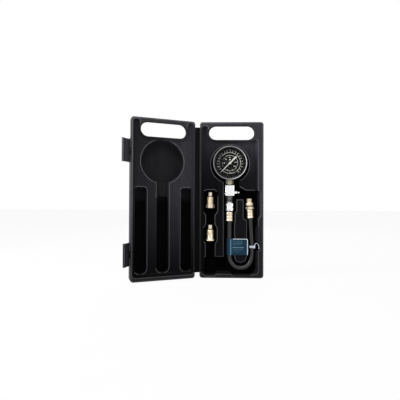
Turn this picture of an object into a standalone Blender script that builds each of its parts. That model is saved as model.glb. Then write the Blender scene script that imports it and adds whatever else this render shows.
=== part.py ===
"""Cased compression tester: a dial gauge with its release valve, coupler, short hose and engine
fitting, two screw-in adaptors, and the blow-moulded case that holds them, standing open like a book.

Sizes are in millimetres and are turned into metres where meshes and places are made. Inside the
case, x runs from the hinge side to the free side, depth runs back from the rim plane, and z is up.
"""
import math

import bmesh
import bpy
from mathutils import Vector

MM = 0.001
GAP = 0.3
FIT = 0.2

# Case halves
CASE_WIDTH = 127.0
CASE_HEIGHT = 311.0
BASE_DEPTH = 32.0
LID_DEPTH = 26.0
CASE_CORNER = 5.0
BACK_ROUND = 4.0
RIM_ROUND = 1.4
RIM_HINGE_SIDE = 3.8
RIM_FREE_SIDE = 12.2
RIM_TOP = 9.2
RIM_BOTTOM = 9.2
TRAY_DEPTH = 5.0
TRAY_DRAFT = 2.6
POCKET_LIP = 1.5
POCKET_DRAFT = 0.9
FLOOR_ROUND = 1.2
BACK_PANEL_BORDER = 12.0
BACK_PANEL_DEPTH = 1.0

# Hollows in the lid
LID_RIM_FREE_SIDE = 4.8
LID_RIM_TOP = 4.8
LID_HOLLOW = 20.0
LID_SHALLOW = 16.0
LID_BRIDGE = 12.5
LID_STEP_Z = 123.5

# Hand slot, the pad round it, and the thinner handle it runs through
SLOT_SIDE = 18.3
SLOT_HEIGHT = 27.6
SLOT_ABOVE = 8.2
SLOT_LIP = 1.2
SLOT_WEB = 6.0
SLOT_FLARE = 2.2
PAD_BORDER = 2.8
HANDLE_DEPTH = 14.0
HANDLE_SHOULDER = 2.4
HANDLE_ROUND = 2.4

# Hinge strap and the way the case stands open
HINGE_LIP = 1.2
HINGE_LIP_THICK = 0.7
HINGE_EDGE = 0.1
HINGE_TAPER = 0.55
STRAP_WIDTH = 7.9
STRAP_THICK = 1.2
STRAP_RIDGE = 0.4
STRAP_HEIGHT = 290.0
CLOSED_GAP = 0.4
OPEN_ANGLE = 21.5

# Latches on the lid's free side
LATCH_LENGTH = 43.4
LATCH_REACH = 19.0
LATCH_THICK = 2.2
LATCH_BARREL = 2.3
LATCH_PIN_RADIUS = 1.1
LATCH_BEHIND_RIM = 8.0
LATCH_KNUCKLE = 14.0
LATCH_HOOK = 2.4
LATCH_UPPER_BELOW_TOP = 64.0
LATCH_LOWER_Z = 52.0
LATCH_UPPER_OPEN = 36.0
LATCH_LOWER_OPEN = 48.0

# Gauge
GAUGE_BESIDE_STEM = 0.2
GAUGE_Z = 229.0
GAUGE_FRONT = -4.5
GAUGE_BACK = 22.0
BEZEL_RADIUS = 34.4
BEZEL_WINDOW = 29.6
BEZEL_SKIRT = 1.9
GAUGE_CASE_WALL = 1.8
LENS_THICK = 1.4
DIAL_DEPTH = 1.2
DIAL_THICK = 0.8
DIAL_SWEEP = 270.0
DIAL_SCREW_SPREAD = 4.6
DIAL_SCREW_DROP = 14.5
POINTER_DEPTH = -0.4
POINTER_THICK = 0.5
POINTER_LENGTH = 24.0
POINTER_TAIL = 18.0
POINTER_HUB = 2.6

# Gauge movement
GEAR_MODULE = 0.35
PINION_TEETH = 12
SECTOR_TEETH = 84
SECTOR_ARC_TEETH = 13
SECTOR_SIDE = -50.0
SECTOR_DEPTH = 7.0
SECTOR_THICK = 1.4
TAIL_LENGTH = 8.0
TAIL_SIDE = -20.0
PLATE_THICK = 1.0
FRONT_PLATE_DEPTH = 4.0
BACK_PLATE_DEPTH = 12.0
TUBE_RADIUS = 24.0
TUBE_WIDTH = 9.0
TUBE_THICK = 2.6
TUBE_START = 251.2
TUBE_END = -10.0
HAIRSPRING_TURNS = 3.5
HAIRSPRING_DEPTH = 9.7
HAIRSPRING_OUTER = 6.2
ARBOR_RADIUS = 0.8
LINK_LENGTH = 9.4

# Stem under the gauge, on one vertical axis
AXIS_DEPTH = 9.2
STEM_ACROSS = 0.47244
SOCKET_HEX = 13.8
SOCKET_HEX_HEIGHT = 8.7
SOCKET_NECK = 5.0
SOCKET_NECK_SHOWS = 1.4
SOCKET_NECK_REACH = 8.5
SOCKET_COLUMN = 6.2
SOCKET_BLOCK = 7.0
SCREW_SPREAD = 4.0
SCREW_RADIUS = 1.3
SCREW_HEAD = 2.4
SCREW_BOSS = 3.6
BLOCK_WIDTH = 19.0
BLOCK_HEIGHT = 22.0
PLUG_HEX = 12.6
PLUG_HEX_HEIGHT = 8.4
PLUG_SPIGOT = 4.6
PLUG_SPIGOT_LENGTH = 2.8
PLUG_NOSE_RADIUS = 4.7
PLUG_NOSE_LENGTH = 13.0
COUPLER_NOSE = 0.9
COUPLER_RADIUS = 6.6
COUPLER_LENGTH = 20.3
SLEEVE_RADIUS = 9.1
SLEEVE_LENGTH = 16.7
SLEEVE_BORE = 8.1
SPRING_TOP = 9.6
BALL_RADIUS = 1.2
BALL_COUNT = 4

# Release valve on the block's side
VALVE_BELOW_TOP = 15.0
VALVE_RADIUS = 3.3
VALVE_LENGTH = 5.9
VALVE_SPIGOT = 2.8
BUTTON_RADIUS = 2.4
BUTTON_LENGTH = 2.7
BUTTON_SHOWS = 1.5
BUTTON_TRAVEL = 0.8

# Hose and its ends; the route is in shares of the way from the stem to the fitting, and z
HOSE_RADIUS = 5.0
FERRULE_RADIUS = 6.6
FERRULE_LENGTH = 19.0
FERRULE_CAP = 2.0
FITTING_FERRULE_RADIUS = 6.2
FITTING_FERRULE_LENGTH = 17.4
FITTING_ACROSS = 0.79417
FITTING_Z = 136.9
FITTING_LEAN = 3.5
FITTING_HEX = 14.8
FITTING_THREAD = 7.4
FITTING_TIP = 5.3
CHECK_BORE = 1.9
HOSE_ROUTE = (
    (0.0, 129.6), (0.0, 110.0), (0.0, 84.0), (0.0, 60.0), (0.0, 43.5), (0.0637, 31.8),
    (0.2252, 23.4), (0.4307, 19.6), (0.6461, 19.5), (0.8615, 23.0), (1.023, 31.0), (1.1013, 43.5),
    (1.1087, 62.0), (1.0817, 82.0), (1.0524, 101.5), (1.0259, 119.5), (1.0047, 133.8),
)

# Adaptors in the left pocket
ADAPTOR_ACROSS = 0.16614
ADAPTOR_DEPTH = 9.7
ADAPTOR_FLANGE = 8.65
LONG_ADAPTOR_Z = 139.2
LONG_FLANGE_HEIGHT = 6.2
LONG_BODY_RADIUS = 6.55
LONG_BODY_HEIGHT = 16.3
LONG_TIP_RADIUS = 4.05
LONG_TIP_HEIGHT = 7.5
SHORT_ADAPTOR_Z = 73.2
SHORT_SKIRT_HEIGHT = 5.0
SHORT_BODY_RADIUS = 6.45
SHORT_BODY_HEIGHT = 17.0
SHORT_TIP_RADIUS = 4.5
SHORT_TIP_HEIGHT = 8.2
ADAPTOR_BORE = 2.6
GROOVE_HEIGHT = 1.7
O_RING_THICK = 0.62

# Label and tie on the hose
LABEL_BOTTOM = 45.2
LABEL_HEIGHT = 32.9
LABEL_REACH = 36.8
LABEL_THICK = 0.5
TIE_POINT = 12
TIE_WIDTH = 3.9
TIE_THICK = 1.0
TIE_TAIL = ((4.1, 0.0), (4.9, 4.4), (6.7, 6.8), (9.5, 7.0), (11.9, 4.8), (12.8, 0.4), (13.0, -4.2))

# Worked out from the sizes above
HINGE_BACK = (STRAP_WIDTH - CLOSED_GAP) / 2
FOLD = math.radians(OPEN_ANGLE / 2)
SLOT_TOP = CASE_HEIGHT - SLOT_ABOVE
SLOT_BOTTOM = SLOT_TOP - SLOT_HEIGHT
LATCH_UPPER_Z = CASE_HEIGHT - LATCH_UPPER_BELOW_TOP
STEM_X = STEM_ACROSS * CASE_WIDTH
FITTING_X = FITTING_ACROSS * CASE_WIDTH
ADAPTOR_X = ADAPTOR_ACROSS * CASE_WIDTH
GAUGE_X = STEM_X + GAUGE_BESIDE_STEM
SOCKET_FRONT = AXIS_DEPTH - 5.7
SOCKET_BACK = AXIS_DEPTH + 5.9
SOCKET_BLOCK_TOP = GAUGE_Z - 18.8
SCREW_Z = GAUGE_Z - 23.0
LID_CHANNELS = (
    (ADAPTOR_X - 15.1, ADAPTOR_X + 6.8, 178.0, 14.6), (STEM_X - 6.5, STEM_X + 16.2, 162.5, 15.6),
    (FITTING_X - 3.86, FITTING_X + 17.54, 178.0, 15.4),
)
GAUGE_CASE_RADIUS = BEZEL_RADIUS - 0.9 - GAP
LENS_FRONT = GAUGE_FRONT + 1.6
LENS_BACK = LENS_FRONT + LENS_THICK
GASKET_THICK = 0.8
CASE_FRONT = LENS_BACK + GASKET_THICK + 2 * FIT
SOCKET_TOP = GAUGE_Z - GAUGE_CASE_RADIUS - GAP
BLOCK_TOP = SOCKET_TOP - SOCKET_HEX_HEIGHT - SOCKET_NECK_SHOWS
BLOCK_BOTTOM = BLOCK_TOP - BLOCK_HEIGHT
PLUG_TOP = BLOCK_BOTTOM - GAP
PLUG_BOTTOM = PLUG_TOP - PLUG_HEX_HEIGHT
COUPLER_TOP = PLUG_BOTTOM - COUPLER_NOSE
COUPLER_BOTTOM = COUPLER_TOP - COUPLER_LENGTH
SLEEVE_BOTTOM = COUPLER_BOTTOM
FERRULE_TOP = COUPLER_BOTTOM - 1.3
BALL_Z = SLEEVE_BOTTOM + 12.0
STEM_FLOOR = AXIS_DEPTH + BLOCK_WIDTH / 2 + GAP
HOSE_FLOOR = AXIS_DEPTH + HOSE_RADIUS + TIE_THICK + 2 * GAP
SHORT_SKIRT_RADIUS = ADAPTOR_FLANGE - 0.3
ADAPTOR_FLOOR = ADAPTOR_DEPTH + SHORT_SKIRT_RADIUS + GAP
LONG_ADAPTOR_DEPTH = ADAPTOR_FLOOR - GAP - ADAPTOR_FLANGE * math.cos(math.radians(30))
GAUGE_FLOOR = GAUGE_BACK + GAP
SPARE_FLOOR = 21.0
PINION_RADIUS = GEAR_MODULE * PINION_TEETH / 2
SECTOR_RADIUS = GEAR_MODULE * SECTOR_TEETH / 2
SECTOR_PIVOT = (
    (PINION_RADIUS + SECTOR_RADIUS) * math.cos(math.radians(SECTOR_SIDE)),
    (PINION_RADIUS + SECTOR_RADIUS) * math.sin(math.radians(SECTOR_SIDE)),
)
POINTER_REST = math.radians(-DIAL_SWEEP / 2)
ARC_STEPS = 2
LARGE_STEPS = 30
ROUND_STEPS = 16
SMALL_STEPS = 10
FINE_STEPS = 8


def clear_scene():
    """Removes every object, so that the part stands alone."""
    for item in list(bpy.data.objects):
        bpy.data.objects.remove(item, do_unlink=True)


def material(name, colour, roughness, metallic=0.0, alpha=1.0):
    made = bpy.data.materials.new(name)
    made.use_nodes = True
    shader = made.node_tree.nodes["Principled BSDF"]
    shader.inputs["Base Color"].default_value = (*colour, 1.0)
    shader.inputs["Roughness"].default_value = roughness
    shader.inputs["Metallic"].default_value = metallic
    shader.inputs["Alpha"].default_value = alpha
    made.diffuse_color = (*colour, alpha)
    return made


def empty(name, at=(0, 0, 0), turn=(0, 0, 0), parent=None):
    """An axis or frame that other pieces hang on; at is in millimetres."""
    made = bpy.data.objects.new(name, None)
    made.location = Vector(at) * MM
    made.rotation_euler = turn
    made.parent = parent
    bpy.context.collection.objects.link(made)
    return made


def add_object(name, form, finish, parent, at=(0, 0, 0), turn=(0, 0, 0), smooth=True):
    """An object from a bmesh in millimetres, with its faces pointing out."""
    bmesh.ops.recalc_face_normals(form, faces=form.faces)
    if form.calc_volume(signed=True) < 0:
        bmesh.ops.reverse_faces(form, faces=form.faces)
    for vertex in form.verts:
        vertex.co *= MM
    mesh = bpy.data.meshes.new(name)
    form.to_mesh(mesh)
    form.free()
    if smooth:
        mesh.shade_smooth()
        mesh.set_sharp_from_angle(angle=math.radians(35))
    made = bpy.data.objects.new(name, mesh)
    made.location = Vector(at) * MM
    made.rotation_euler = turn
    made.parent = parent
    if finish is not None:
        mesh.materials.append(finish)
    bpy.context.collection.objects.link(made)
    return made


def loft(loops):
    """A closed solid through loops that have the same number of points, with flat ends."""
    form = bmesh.new()
    rings = [[form.verts.new(point) for point in loop] for loop in loops]
    count = len(rings[0])
    for low, high in zip(rings, rings[1:]):
        for i in range(count):
            j = (i + 1) % count
            form.faces.new((low[i], low[j], high[j], high[i]))
    form.faces.new(rings[0][::-1])
    form.faces.new(rings[-1])
    return form


def turned(profile, steps, axis="Z"):
    """A solid turned about an axis; profile is (radius, height), a ring or from axis to axis."""
    form = bmesh.new()
    points = [form.verts.new((radius, 0, height)) for radius, height in profile]
    for start, end in zip(points, points[1:]):
        form.edges.new((start, end))
    if profile[0][0] > 0:
        form.edges.new((points[-1], points[0]))
    bmesh.ops.spin(
        form, geom=form.verts[:] + form.edges[:], cent=(0, 0, 0), axis=(0, 0, 1),
        angle=math.tau, steps=steps, use_merge=True,
    )
    bmesh.ops.remove_doubles(form, verts=form.verts, dist=1e-4)
    if axis == "Y":
        for vertex in form.verts:
            vertex.co = (vertex.co.x, vertex.co.z, vertex.co.y)
    if axis == "X":
        for vertex in form.verts:
            vertex.co = (vertex.co.z, vertex.co.y, vertex.co.x)
    return form


def rounded(corners, grow=0.0, steps=ARC_STEPS):
    """A closed outline with round corners, anticlockwise, moved outwards by grow.

    Each corner is (x, z, radius). An outer corner's radius grows with the outline and an inner
    corner's shrinks, so every outline of one family has matching points.
    """
    count = len(corners)
    outline = []
    for i in range(count):
        before = Vector(corners[i - 1][:2])
        here = Vector(corners[i][:2])
        after = Vector(corners[(i + 1) % count][:2])
        way_in = (here - before).normalized()
        way_out = (after - here).normalized()
        turn = math.atan2(way_in.cross(way_out), way_in.dot(way_out))
        side = Vector((way_in.y, -way_in.x))
        shift = side * grow + way_in * grow * math.tan(turn / 2)
        moved = here + shift
        outer = turn > 0
        radius = max(corners[i][2] + (grow if outer else -grow), 0.25)
        reach = radius * math.tan(abs(turn) / 2)
        start = moved - way_in * reach
        inward = Vector((-way_in.y, way_in.x)) * (1 if outer else -1)
        centre = start + inward * radius
        arm = start - centre
        for step in range(steps + 1):
            angle = turn * step / steps
            outline.append((
                centre.x + arm.x * math.cos(angle) - arm.y * math.sin(angle),
                centre.y + arm.x * math.sin(angle) + arm.y * math.cos(angle),
            ))
    return outline


def circle(x, z, radius, steps):
    return [
        (x + radius * math.cos(math.tau * i / steps), z + radius * math.sin(math.tau * i / steps))
        for i in range(steps)
    ]


def at_depth(outline, depth):
    return [(x, depth, z) for x, z in outline]


def plate(outline, front, back):
    """A flat piece: an outline in x and z, given a thickness in depth."""
    return loft([at_depth(outline, front), at_depth(outline, back)])


def hexagon(across_flats, bottom, top, chamfer=0.6):
    """A hexagonal prism on the Z axis, with corners to the left and right."""
    corner = across_flats / math.sqrt(3)
    low = ((bottom, corner - chamfer), (bottom + chamfer, corner))
    high = ((top - chamfer, corner), (top, corner - chamfer))
    return loft([[(x, y, z) for x, y in circle(0, 0, radius, 6)] for z, radius in low + high])


def box(low, high):
    outline = [(low[0], low[2]), (high[0], low[2]), (high[0], high[2]), (low[0], high[2])]
    return plate(outline, low[1], high[1])


def helix(radius, wire, start, end, turns, axis="Z", steps=9, sides=4):
    """A coil spring with plain ends, wound round an axis from start to end."""
    loops = []
    total = int(turns * steps)
    for i in range(total + 1):
        angle = math.tau * i / steps
        height = start + (end - start) * i / total
        loop = []
        for j in range(sides):
            turn = math.tau * j / sides
            reach = radius + wire * math.cos(turn)
            point = (reach * math.cos(angle), reach * math.sin(angle), height + wire * math.sin(turn))
            loop.append(point if axis == "Z" else (point[2], point[1], point[0]))
        loops.append(loop)
    return loft(loops)


def torus(radius, thick, steps=SMALL_STEPS, sides=6):
    profile = [
        (radius + thick * math.cos(math.tau * j / sides), thick * math.sin(math.tau * j / sides))
        for j in range(sides)
    ]
    return turned(profile, steps)


def combine(target, form, operation, parent, at=(0, 0, 0), turn=(0, 0, 0)):
    """Cuts a shape from the target, or joins it on, with an exact Boolean."""
    name = f"{target.name}_{operation.lower()}_{len(target.modifiers)}"
    tool = add_object(name, form, None, parent, at, turn, smooth=False)
    tool.hide_render = True
    tool.display_type = "WIRE"
    step = target.modifiers.new(name, "BOOLEAN")
    step.operation = operation
    step.solver = "EXACT"
    step.object = tool


def cut(target, form, parent, at=(0, 0, 0), turn=(0, 0, 0)):
    combine(target, form, "DIFFERENCE", parent, at, turn)


def join(target, form, parent, at=(0, 0, 0), turn=(0, 0, 0)):
    combine(target, form, "UNION", parent, at, turn)


def along(axis, x, y, level):
    """A point beside an axis: x and y across it, and level along it."""
    return {"X": (level, x, y), "Y": (x, level, y), "Z": (x, y, level)}[axis]


def rod(radius, bottom, top, steps=ROUND_STEPS, axis="Z"):
    ring = circle(0, 0, radius, steps)
    return loft([[along(axis, x, y, level) for x, y in ring] for level in (bottom, top)])


def mirrored(corners):
    """The same outline on the lid, whose free side lies the other way."""
    return [(-x, z, radius) for x, z, radius in reversed(corners)]


def loft_mirrored(form):
    """A solid made for the base, turned over to the lid's side."""
    bmesh.ops.scale(form, vec=(-1, 1, 1), verts=form.verts)
    return form


def pocket(outline_at, top, floor, lip=POCKET_LIP, draft=POCKET_DRAFT, clear=None):
    """A moulded recess as a cutter: a rolled lip, a wall with draft and a round at the floor.

    outline_at gives the recess's outline for a growth in millimetres.
    """
    middle = math.radians(45)
    clear = -1.0 if clear is None else clear
    levels = (
        (clear, lip),
        (top, lip),
        (top + lip * (1 - math.cos(middle)), lip * (1 - math.sin(middle))),
        (top + lip, 0.0),
        (floor - FLOOR_ROUND, -draft),
        (floor, -draft - FLOOR_ROUND),
    )
    return loft([at_depth(outline_at(grow), depth) for depth, grow in levels])


def case_shell(depth, corners):
    """The outside of one case half: round rim edge, straight sides, rounder back edge."""
    middle = math.radians(45)
    rim = RIM_ROUND
    back = BACK_ROUND
    levels = (
        (0.0, -rim),
        (rim * (1 - math.cos(middle)), -rim * (1 - math.sin(middle))),
        (rim, 0.0),
        (depth - back, 0.0),
        (depth - back * (1 - math.cos(middle)), -back * (1 - math.sin(middle))),
        (depth, -back),
    )
    return loft([at_depth(rounded(corners, grow), level) for level, grow in levels])


def shell_corners():
    return [
        (0.0, 0.0, CASE_CORNER), (CASE_WIDTH, 0.0, CASE_CORNER),
        (CASE_WIDTH, CASE_HEIGHT, CASE_CORNER), (0.0, CASE_HEIGHT, CASE_CORNER),
    ]


def slot_corners(grow=0.0):
    """The slot's outline, whose sides and top move out by grow while its bottom stays."""
    half = (SLOT_HEIGHT + grow) / 2 - 0.01
    left = SLOT_SIDE - grow
    right = CASE_WIDTH - SLOT_SIDE + grow
    top = SLOT_TOP + grow
    return [(left, SLOT_BOTTOM, half), (right, SLOT_BOTTOM, half), (right, top, half), (left, top, half)]


def slot_cutter():
    """The hand slot: a rolled edge in front, a thin web, and walls that open out behind it."""
    middle = math.radians(45)
    lip = SLOT_LIP
    levels = (
        (-1.0, lip, 0.0),
        (0.0, lip, 0.0),
        (lip * (1 - math.cos(middle)), lip * (1 - math.sin(middle)), 0.0),
        (lip, 0.0, 0.0),
        (SLOT_WEB, 0.0, 0.0),
        (HANDLE_DEPTH, 0.0, SLOT_FLARE),
        (HANDLE_DEPTH + 1.0, 0.0, SLOT_FLARE),
    )
    return [(level, rounded(slot_corners(flare), grow, 5)) for level, grow, flare in levels]


def handle_cutter(depth):
    """What is cut from behind to leave the thinner handle over a rounded shoulder."""
    shoulder = SLOT_BOTTOM - HANDLE_SHOULDER
    front = HANDLE_DEPTH
    soft = HANDLE_ROUND
    back = BACK_ROUND
    top = CASE_HEIGHT
    loops = []
    for x, shift in (
        (-1.0, soft), (0.0, soft), (0.3 * soft, 0.3 * soft), (soft, 0.0),
        (CASE_WIDTH - soft, 0.0), (CASE_WIDTH - 0.3 * soft, 0.3 * soft),
        (CASE_WIDTH, soft), (CASE_WIDTH + 1.0, soft),
    ):
        near = front - shift
        section = (
            (depth + 1.0, shoulder - back), (depth, shoulder - back),
            (depth - 0.3 * back, shoulder - 0.3 * back), (depth - back, shoulder),
            (front + 1.0, shoulder), (near + 0.3, shoulder + 0.3), (near, shoulder + 1.0),
            (near, top - soft), (near - 0.3 * soft, top - 0.3 * soft), (near - soft, top),
            (near - soft, top + 1.0), (depth + 1.0, top + 1.0),
        )
        loops.append([(x, level, z) for level, z in section])
    return loft(loops)


def tray_corners():
    """The shallow tray inside the base's rim, which leaves a raised pad round the hand slot."""
    pad_left = SLOT_SIDE - PAD_BORDER
    pad_bottom = SLOT_BOTTOM - PAD_BORDER + 1.2
    left = RIM_HINGE_SIDE
    right = CASE_WIDTH - RIM_FREE_SIDE
    return [
        (left, RIM_BOTTOM, 4.0), (right, RIM_BOTTOM, 4.0), (right, pad_bottom, 3.0),
        (pad_left, pad_bottom, SLOT_HEIGHT / 2 + 1.0), (pad_left, CASE_HEIGHT - RIM_TOP, 3.0),
        (left, CASE_HEIGHT - RIM_TOP, 4.0),
    ]


def lid_tray_corners():
    """The lid's tray reaches further out, and runs up both sides of the pad."""
    pad_left = SLOT_SIDE - PAD_BORDER
    pad_right = CASE_WIDTH - SLOT_SIDE + PAD_BORDER
    pad_bottom = SLOT_BOTTOM - PAD_BORDER + 1.2
    left = RIM_HINGE_SIDE
    right = CASE_WIDTH - LID_RIM_FREE_SIDE
    top = CASE_HEIGHT - LID_RIM_TOP
    pad = SLOT_HEIGHT / 2 + 1.0
    return [
        (left, RIM_BOTTOM, 4.0), (right, RIM_BOTTOM, 4.0), (right, top, 4.0), (pad_right, top, 3.0),
        (pad_right, pad_bottom, pad), (pad_left, pad_bottom, pad), (pad_left, top, 3.0), (left, top, 4.0),
    ]


def back_panel_corners():
    border = BACK_PANEL_BORDER
    top = SLOT_BOTTOM - border
    return [
        (border, border, 6.0), (CASE_WIDTH - border, border, 6.0),
        (CASE_WIDTH - border, top, 6.0), (border, top, 6.0),
    ]


def back_panel(depth, corners):
    """A shallow field moulded into the back, cut from behind."""
    levels = ((depth - BACK_PANEL_DEPTH, -BACK_PANEL_DEPTH), (depth, 0.0), (depth + 1.0, 0.0))
    return loft([at_depth(rounded(corners, grow), level) for level, grow in levels])


def hinge_side_lip():
    """The thin moulded lip that carries the hinge strap, on the side at x = 0."""
    low = (CASE_HEIGHT - STRAP_HEIGHT) / 2
    thin = HINGE_LIP_THICK / 2
    section = [
        (1.0, -thin), (1.0, thin), (HINGE_TAPER - HINGE_LIP, thin), (GAP / 2 - HINGE_LIP, HINGE_EDGE),
        (GAP / 2 - HINGE_LIP, -HINGE_EDGE), (HINGE_TAPER - HINGE_LIP, -thin),
    ]
    return loft([[(x, HINGE_BACK + y, z) for x, y in section] for z in (low, low + STRAP_HEIGHT)])


def stem_pocket_corners():
    """Stem, release valve and engine fitting lie in one recess like an arch."""
    half = BLOCK_WIDTH / 2 + GAP + 1.2
    bottom = FERRULE_TOP - FERRULE_LENGTH - 3.0
    left = STEM_X - half
    right = STEM_X + half + 1.6
    fitting_left = FITTING_X - 12.0
    fitting_right = FITTING_X + 18.9
    cross_bottom = BLOCK_BOTTOM - 5.9
    cross_top = BLOCK_TOP - 12.2
    return [
        (left, bottom, 1.0),
        (STEM_X + 9.3, bottom, 1.0),
        (STEM_X + 9.3, COUPLER_BOTTOM - 5.0, 4.0),
        (right, COUPLER_BOTTOM - 1.0, 4.0),
        (right, cross_bottom, 3.0),
        (fitting_left, cross_bottom, 3.0),
        (fitting_left, FITTING_Z - 20.0, 3.0),
        (FITTING_X + 14.3, FITTING_Z - 20.0, 3.0),
        (fitting_right, FITTING_Z - 12.0, 4.0),
        (fitting_right, cross_top, 4.0),
        (FITTING_X - 7.6, cross_top, 6.0),
        (STEM_X + 19.1, BLOCK_TOP - 5.0, 4.0),
        (STEM_X + 19.1, BLOCK_TOP + 12.0, 3.0),
        (left, BLOCK_TOP + 12.0, 1.0),
    ]


def hose_pocket_corners():
    """The U-shaped channel of the hose, with a side notch for the tie's tail."""
    left = STEM_X - HOSE_RADIUS - 5.7
    inner_left = STEM_X + HOSE_RADIUS + 3.5
    inner_right = FITTING_X - 5.16
    outer = FITTING_X + 11.14
    bend_top = 41.8
    bend = (inner_right - inner_left) / 2
    bend_bottom = bend_top - bend
    return [
        (left, 12.4, 2.0), (STEM_X - 0.5, 12.4, 3.0), (STEM_X + 5.5, 6.6, 3.0), (outer, 6.6, 12.0),
        (outer, 53.5, 2.0), (outer + 7.2, 57.0, 2.0), (outer + 7.2, 69.6, 2.0), (outer - 0.4, 73.5, 2.0),
        (outer - 0.4, 98.0, 4.0), (outer + 3.2, 105.5, 4.0), (outer + 3.2, 126.0, 1.0),
        (inner_right, 126.0, 1.0),
        (inner_right, bend_bottom, bend - 0.2), (inner_left, bend_bottom, bend - 0.2),
        (inner_left, COUPLER_BOTTOM + 4.0, 1.0), (left, COUPLER_BOTTOM + 4.0, 1.0),
    ]


def spare_pocket_corners():
    """The open hollow at the foot of the base, beside the hose's bend."""
    left = ADAPTOR_X - 11.7
    right = STEM_X - 8.0
    return [
        (left, 5.9, 4.0), (ADAPTOR_X + 8.4, 5.9, 3.0), (ADAPTOR_X + 12.4, 12.4, 3.0), (right, 12.4, 1.0),
        (right, 40.7, 1.0), (left, 40.7, 3.0),
    ]


def adaptor_pocket_corners():
    """Two wide pockets for the adaptors, joined by a neck and open to the hollow at the foot."""
    centre = ADAPTOR_X + 0.3
    wide = ADAPTOR_FLANGE + 4.6
    low = ADAPTOR_FLANGE + 3.4
    neck = 7.4
    foot = 8.0
    first = LONG_ADAPTOR_Z
    second = SHORT_ADAPTOR_Z
    return [
        (centre - foot, 37.0, 1.0), (centre + foot, 37.0, 1.0),
        (centre + foot, second - 4.6, 3.0), (centre + low, second + 0.4, 4.0),
        (centre + low, second + 25.6, 4.0), (centre + neck, second + 33.4, 4.0),
        (centre + neck, first - 14.4, 4.0), (centre + wide, first - 6.0, 4.0),
        (centre + wide, first + 31.4, 3.0), (centre + neck + 0.6, first + 35.0, 3.0),
        (centre - neck - 0.6, first + 35.0, 3.0), (centre - wide, first + 31.4, 3.0),
        (centre - wide, first - 6.0, 4.0), (centre - neck, first - 14.4, 4.0),
        (centre - neck, second + 33.4, 4.0), (centre - low, second + 25.6, 4.0),
        (centre - low, second + 0.4, 4.0), (centre - foot, second - 4.6, 3.0),
    ]


def latch_catches(target, parent):
    """Slots in the base's free side, which the latch hooks drop into."""
    centre = LATCH_REACH - LATCH_BEHIND_RIM - 1.0
    for z in (LATCH_UPPER_Z, LATCH_LOWER_Z):
        slot = box(
            (CASE_WIDTH - LATCH_HOOK - 1.0, centre - 2.6, z - LATCH_LENGTH / 2 - 1.5),
            (CASE_WIDTH + 1.0, centre + 2.6, z + LATCH_LENGTH / 2 + 1.5),
        )
        cut(target, slot, parent)


def make_case_base(frame, plastic):
    base = add_object("case_base", case_shell(BASE_DEPTH, shell_corners()), plastic, frame)
    join(base, hinge_side_lip(), frame)
    cut(base, pocket(lambda g: rounded(tray_corners(), g), 0.0, TRAY_DEPTH, RIM_ROUND, TRAY_DRAFT), frame)
    cut(base, loft([at_depth(outline, level) for level, outline in slot_cutter()]), frame)
    cut(base, handle_cutter(BASE_DEPTH), frame)
    recess = BEZEL_RADIUS + 3.1
    x, z = GAUGE_X + 0.6, GAUGE_Z - 1.7
    cut(base, pocket(lambda g: circle(x, z, recess + g, LARGE_STEPS), TRAY_DEPTH, GAUGE_FLOOR), frame)
    for corners, floor in (
        (stem_pocket_corners(), STEM_FLOOR),
        (hose_pocket_corners(), HOSE_FLOOR),
        (spare_pocket_corners(), SPARE_FLOOR),
        (adaptor_pocket_corners(), ADAPTOR_FLOOR),
    ):
        cut(base, pocket(lambda g: rounded(corners, g), TRAY_DEPTH, floor), frame)
    cut(base, back_panel(BASE_DEPTH, back_panel_corners()), frame)
    latch_catches(base, frame)
    return base


def make_case_lid(frame, plastic):
    """The lid mirrors the base outside and has plain hollows over the base's contents."""
    lid = add_object("case_lid", case_shell(LID_DEPTH, mirrored(shell_corners())), plastic, frame)
    join(lid, loft_mirrored(hinge_side_lip()), frame)
    tray = mirrored(lid_tray_corners())
    cut(lid, pocket(lambda g: rounded(tray, g), 0.0, TRAY_DEPTH, RIM_ROUND, TRAY_DRAFT), frame)
    cut(lid, loft([[(-x, level, z) for x, z in outline] for level, outline in slot_cutter()]), frame)
    cut(lid, loft_mirrored(handle_cutter(LID_DEPTH)), frame)
    recess = BEZEL_RADIUS + 7.1
    x = -GAUGE_X - 5.0
    cut(lid, pocket(lambda g: circle(x, GAUGE_Z, recess + g, LARGE_STEPS), TRAY_DEPTH, LID_HOLLOW), frame)
    for left, right, top, bottom in LID_CHANNELS:
        deep = mirrored([
            (left, LID_STEP_Z, 1.0), (right, LID_STEP_Z, 1.0), (right, top, 4.0), (left, top, 4.0),
        ])
        shallow = mirrored([
            (left, bottom, 8.0), (right, bottom, 8.0),
            (right, LID_STEP_Z + 3.0, 1.0), (left, LID_STEP_Z + 3.0, 1.0),
        ])
        cut(lid, pocket(lambda g: rounded(deep, g), TRAY_DEPTH, LID_HOLLOW), frame)
        cut(lid, pocket(lambda g: rounded(shallow, g), TRAY_DEPTH, LID_SHALLOW), frame)
    left, right, top, bottom = LID_CHANNELS[1]
    bridge = mirrored([
        (left, top - 6.0, 1.0), (right, top - 6.0, 1.0), (right, top + 35.0, 1.0), (left, top + 35.0, 1.0),
    ])
    cut(lid, pocket(lambda g: rounded(bridge, g), TRAY_DEPTH, LID_BRIDGE), frame)
    cut(lid, back_panel(LID_DEPTH, mirrored(back_panel_corners())), frame)
    for z in (LATCH_UPPER_Z, LATCH_LOWER_Z):
        add_knuckle(lid, frame, z)
    return lid


def latch_axis_x():
    """The latch pin's distance outside the lid's hinge edge, on the lid's own x."""
    return -(CASE_WIDTH + 0.4 + LATCH_BARREL)


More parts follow.
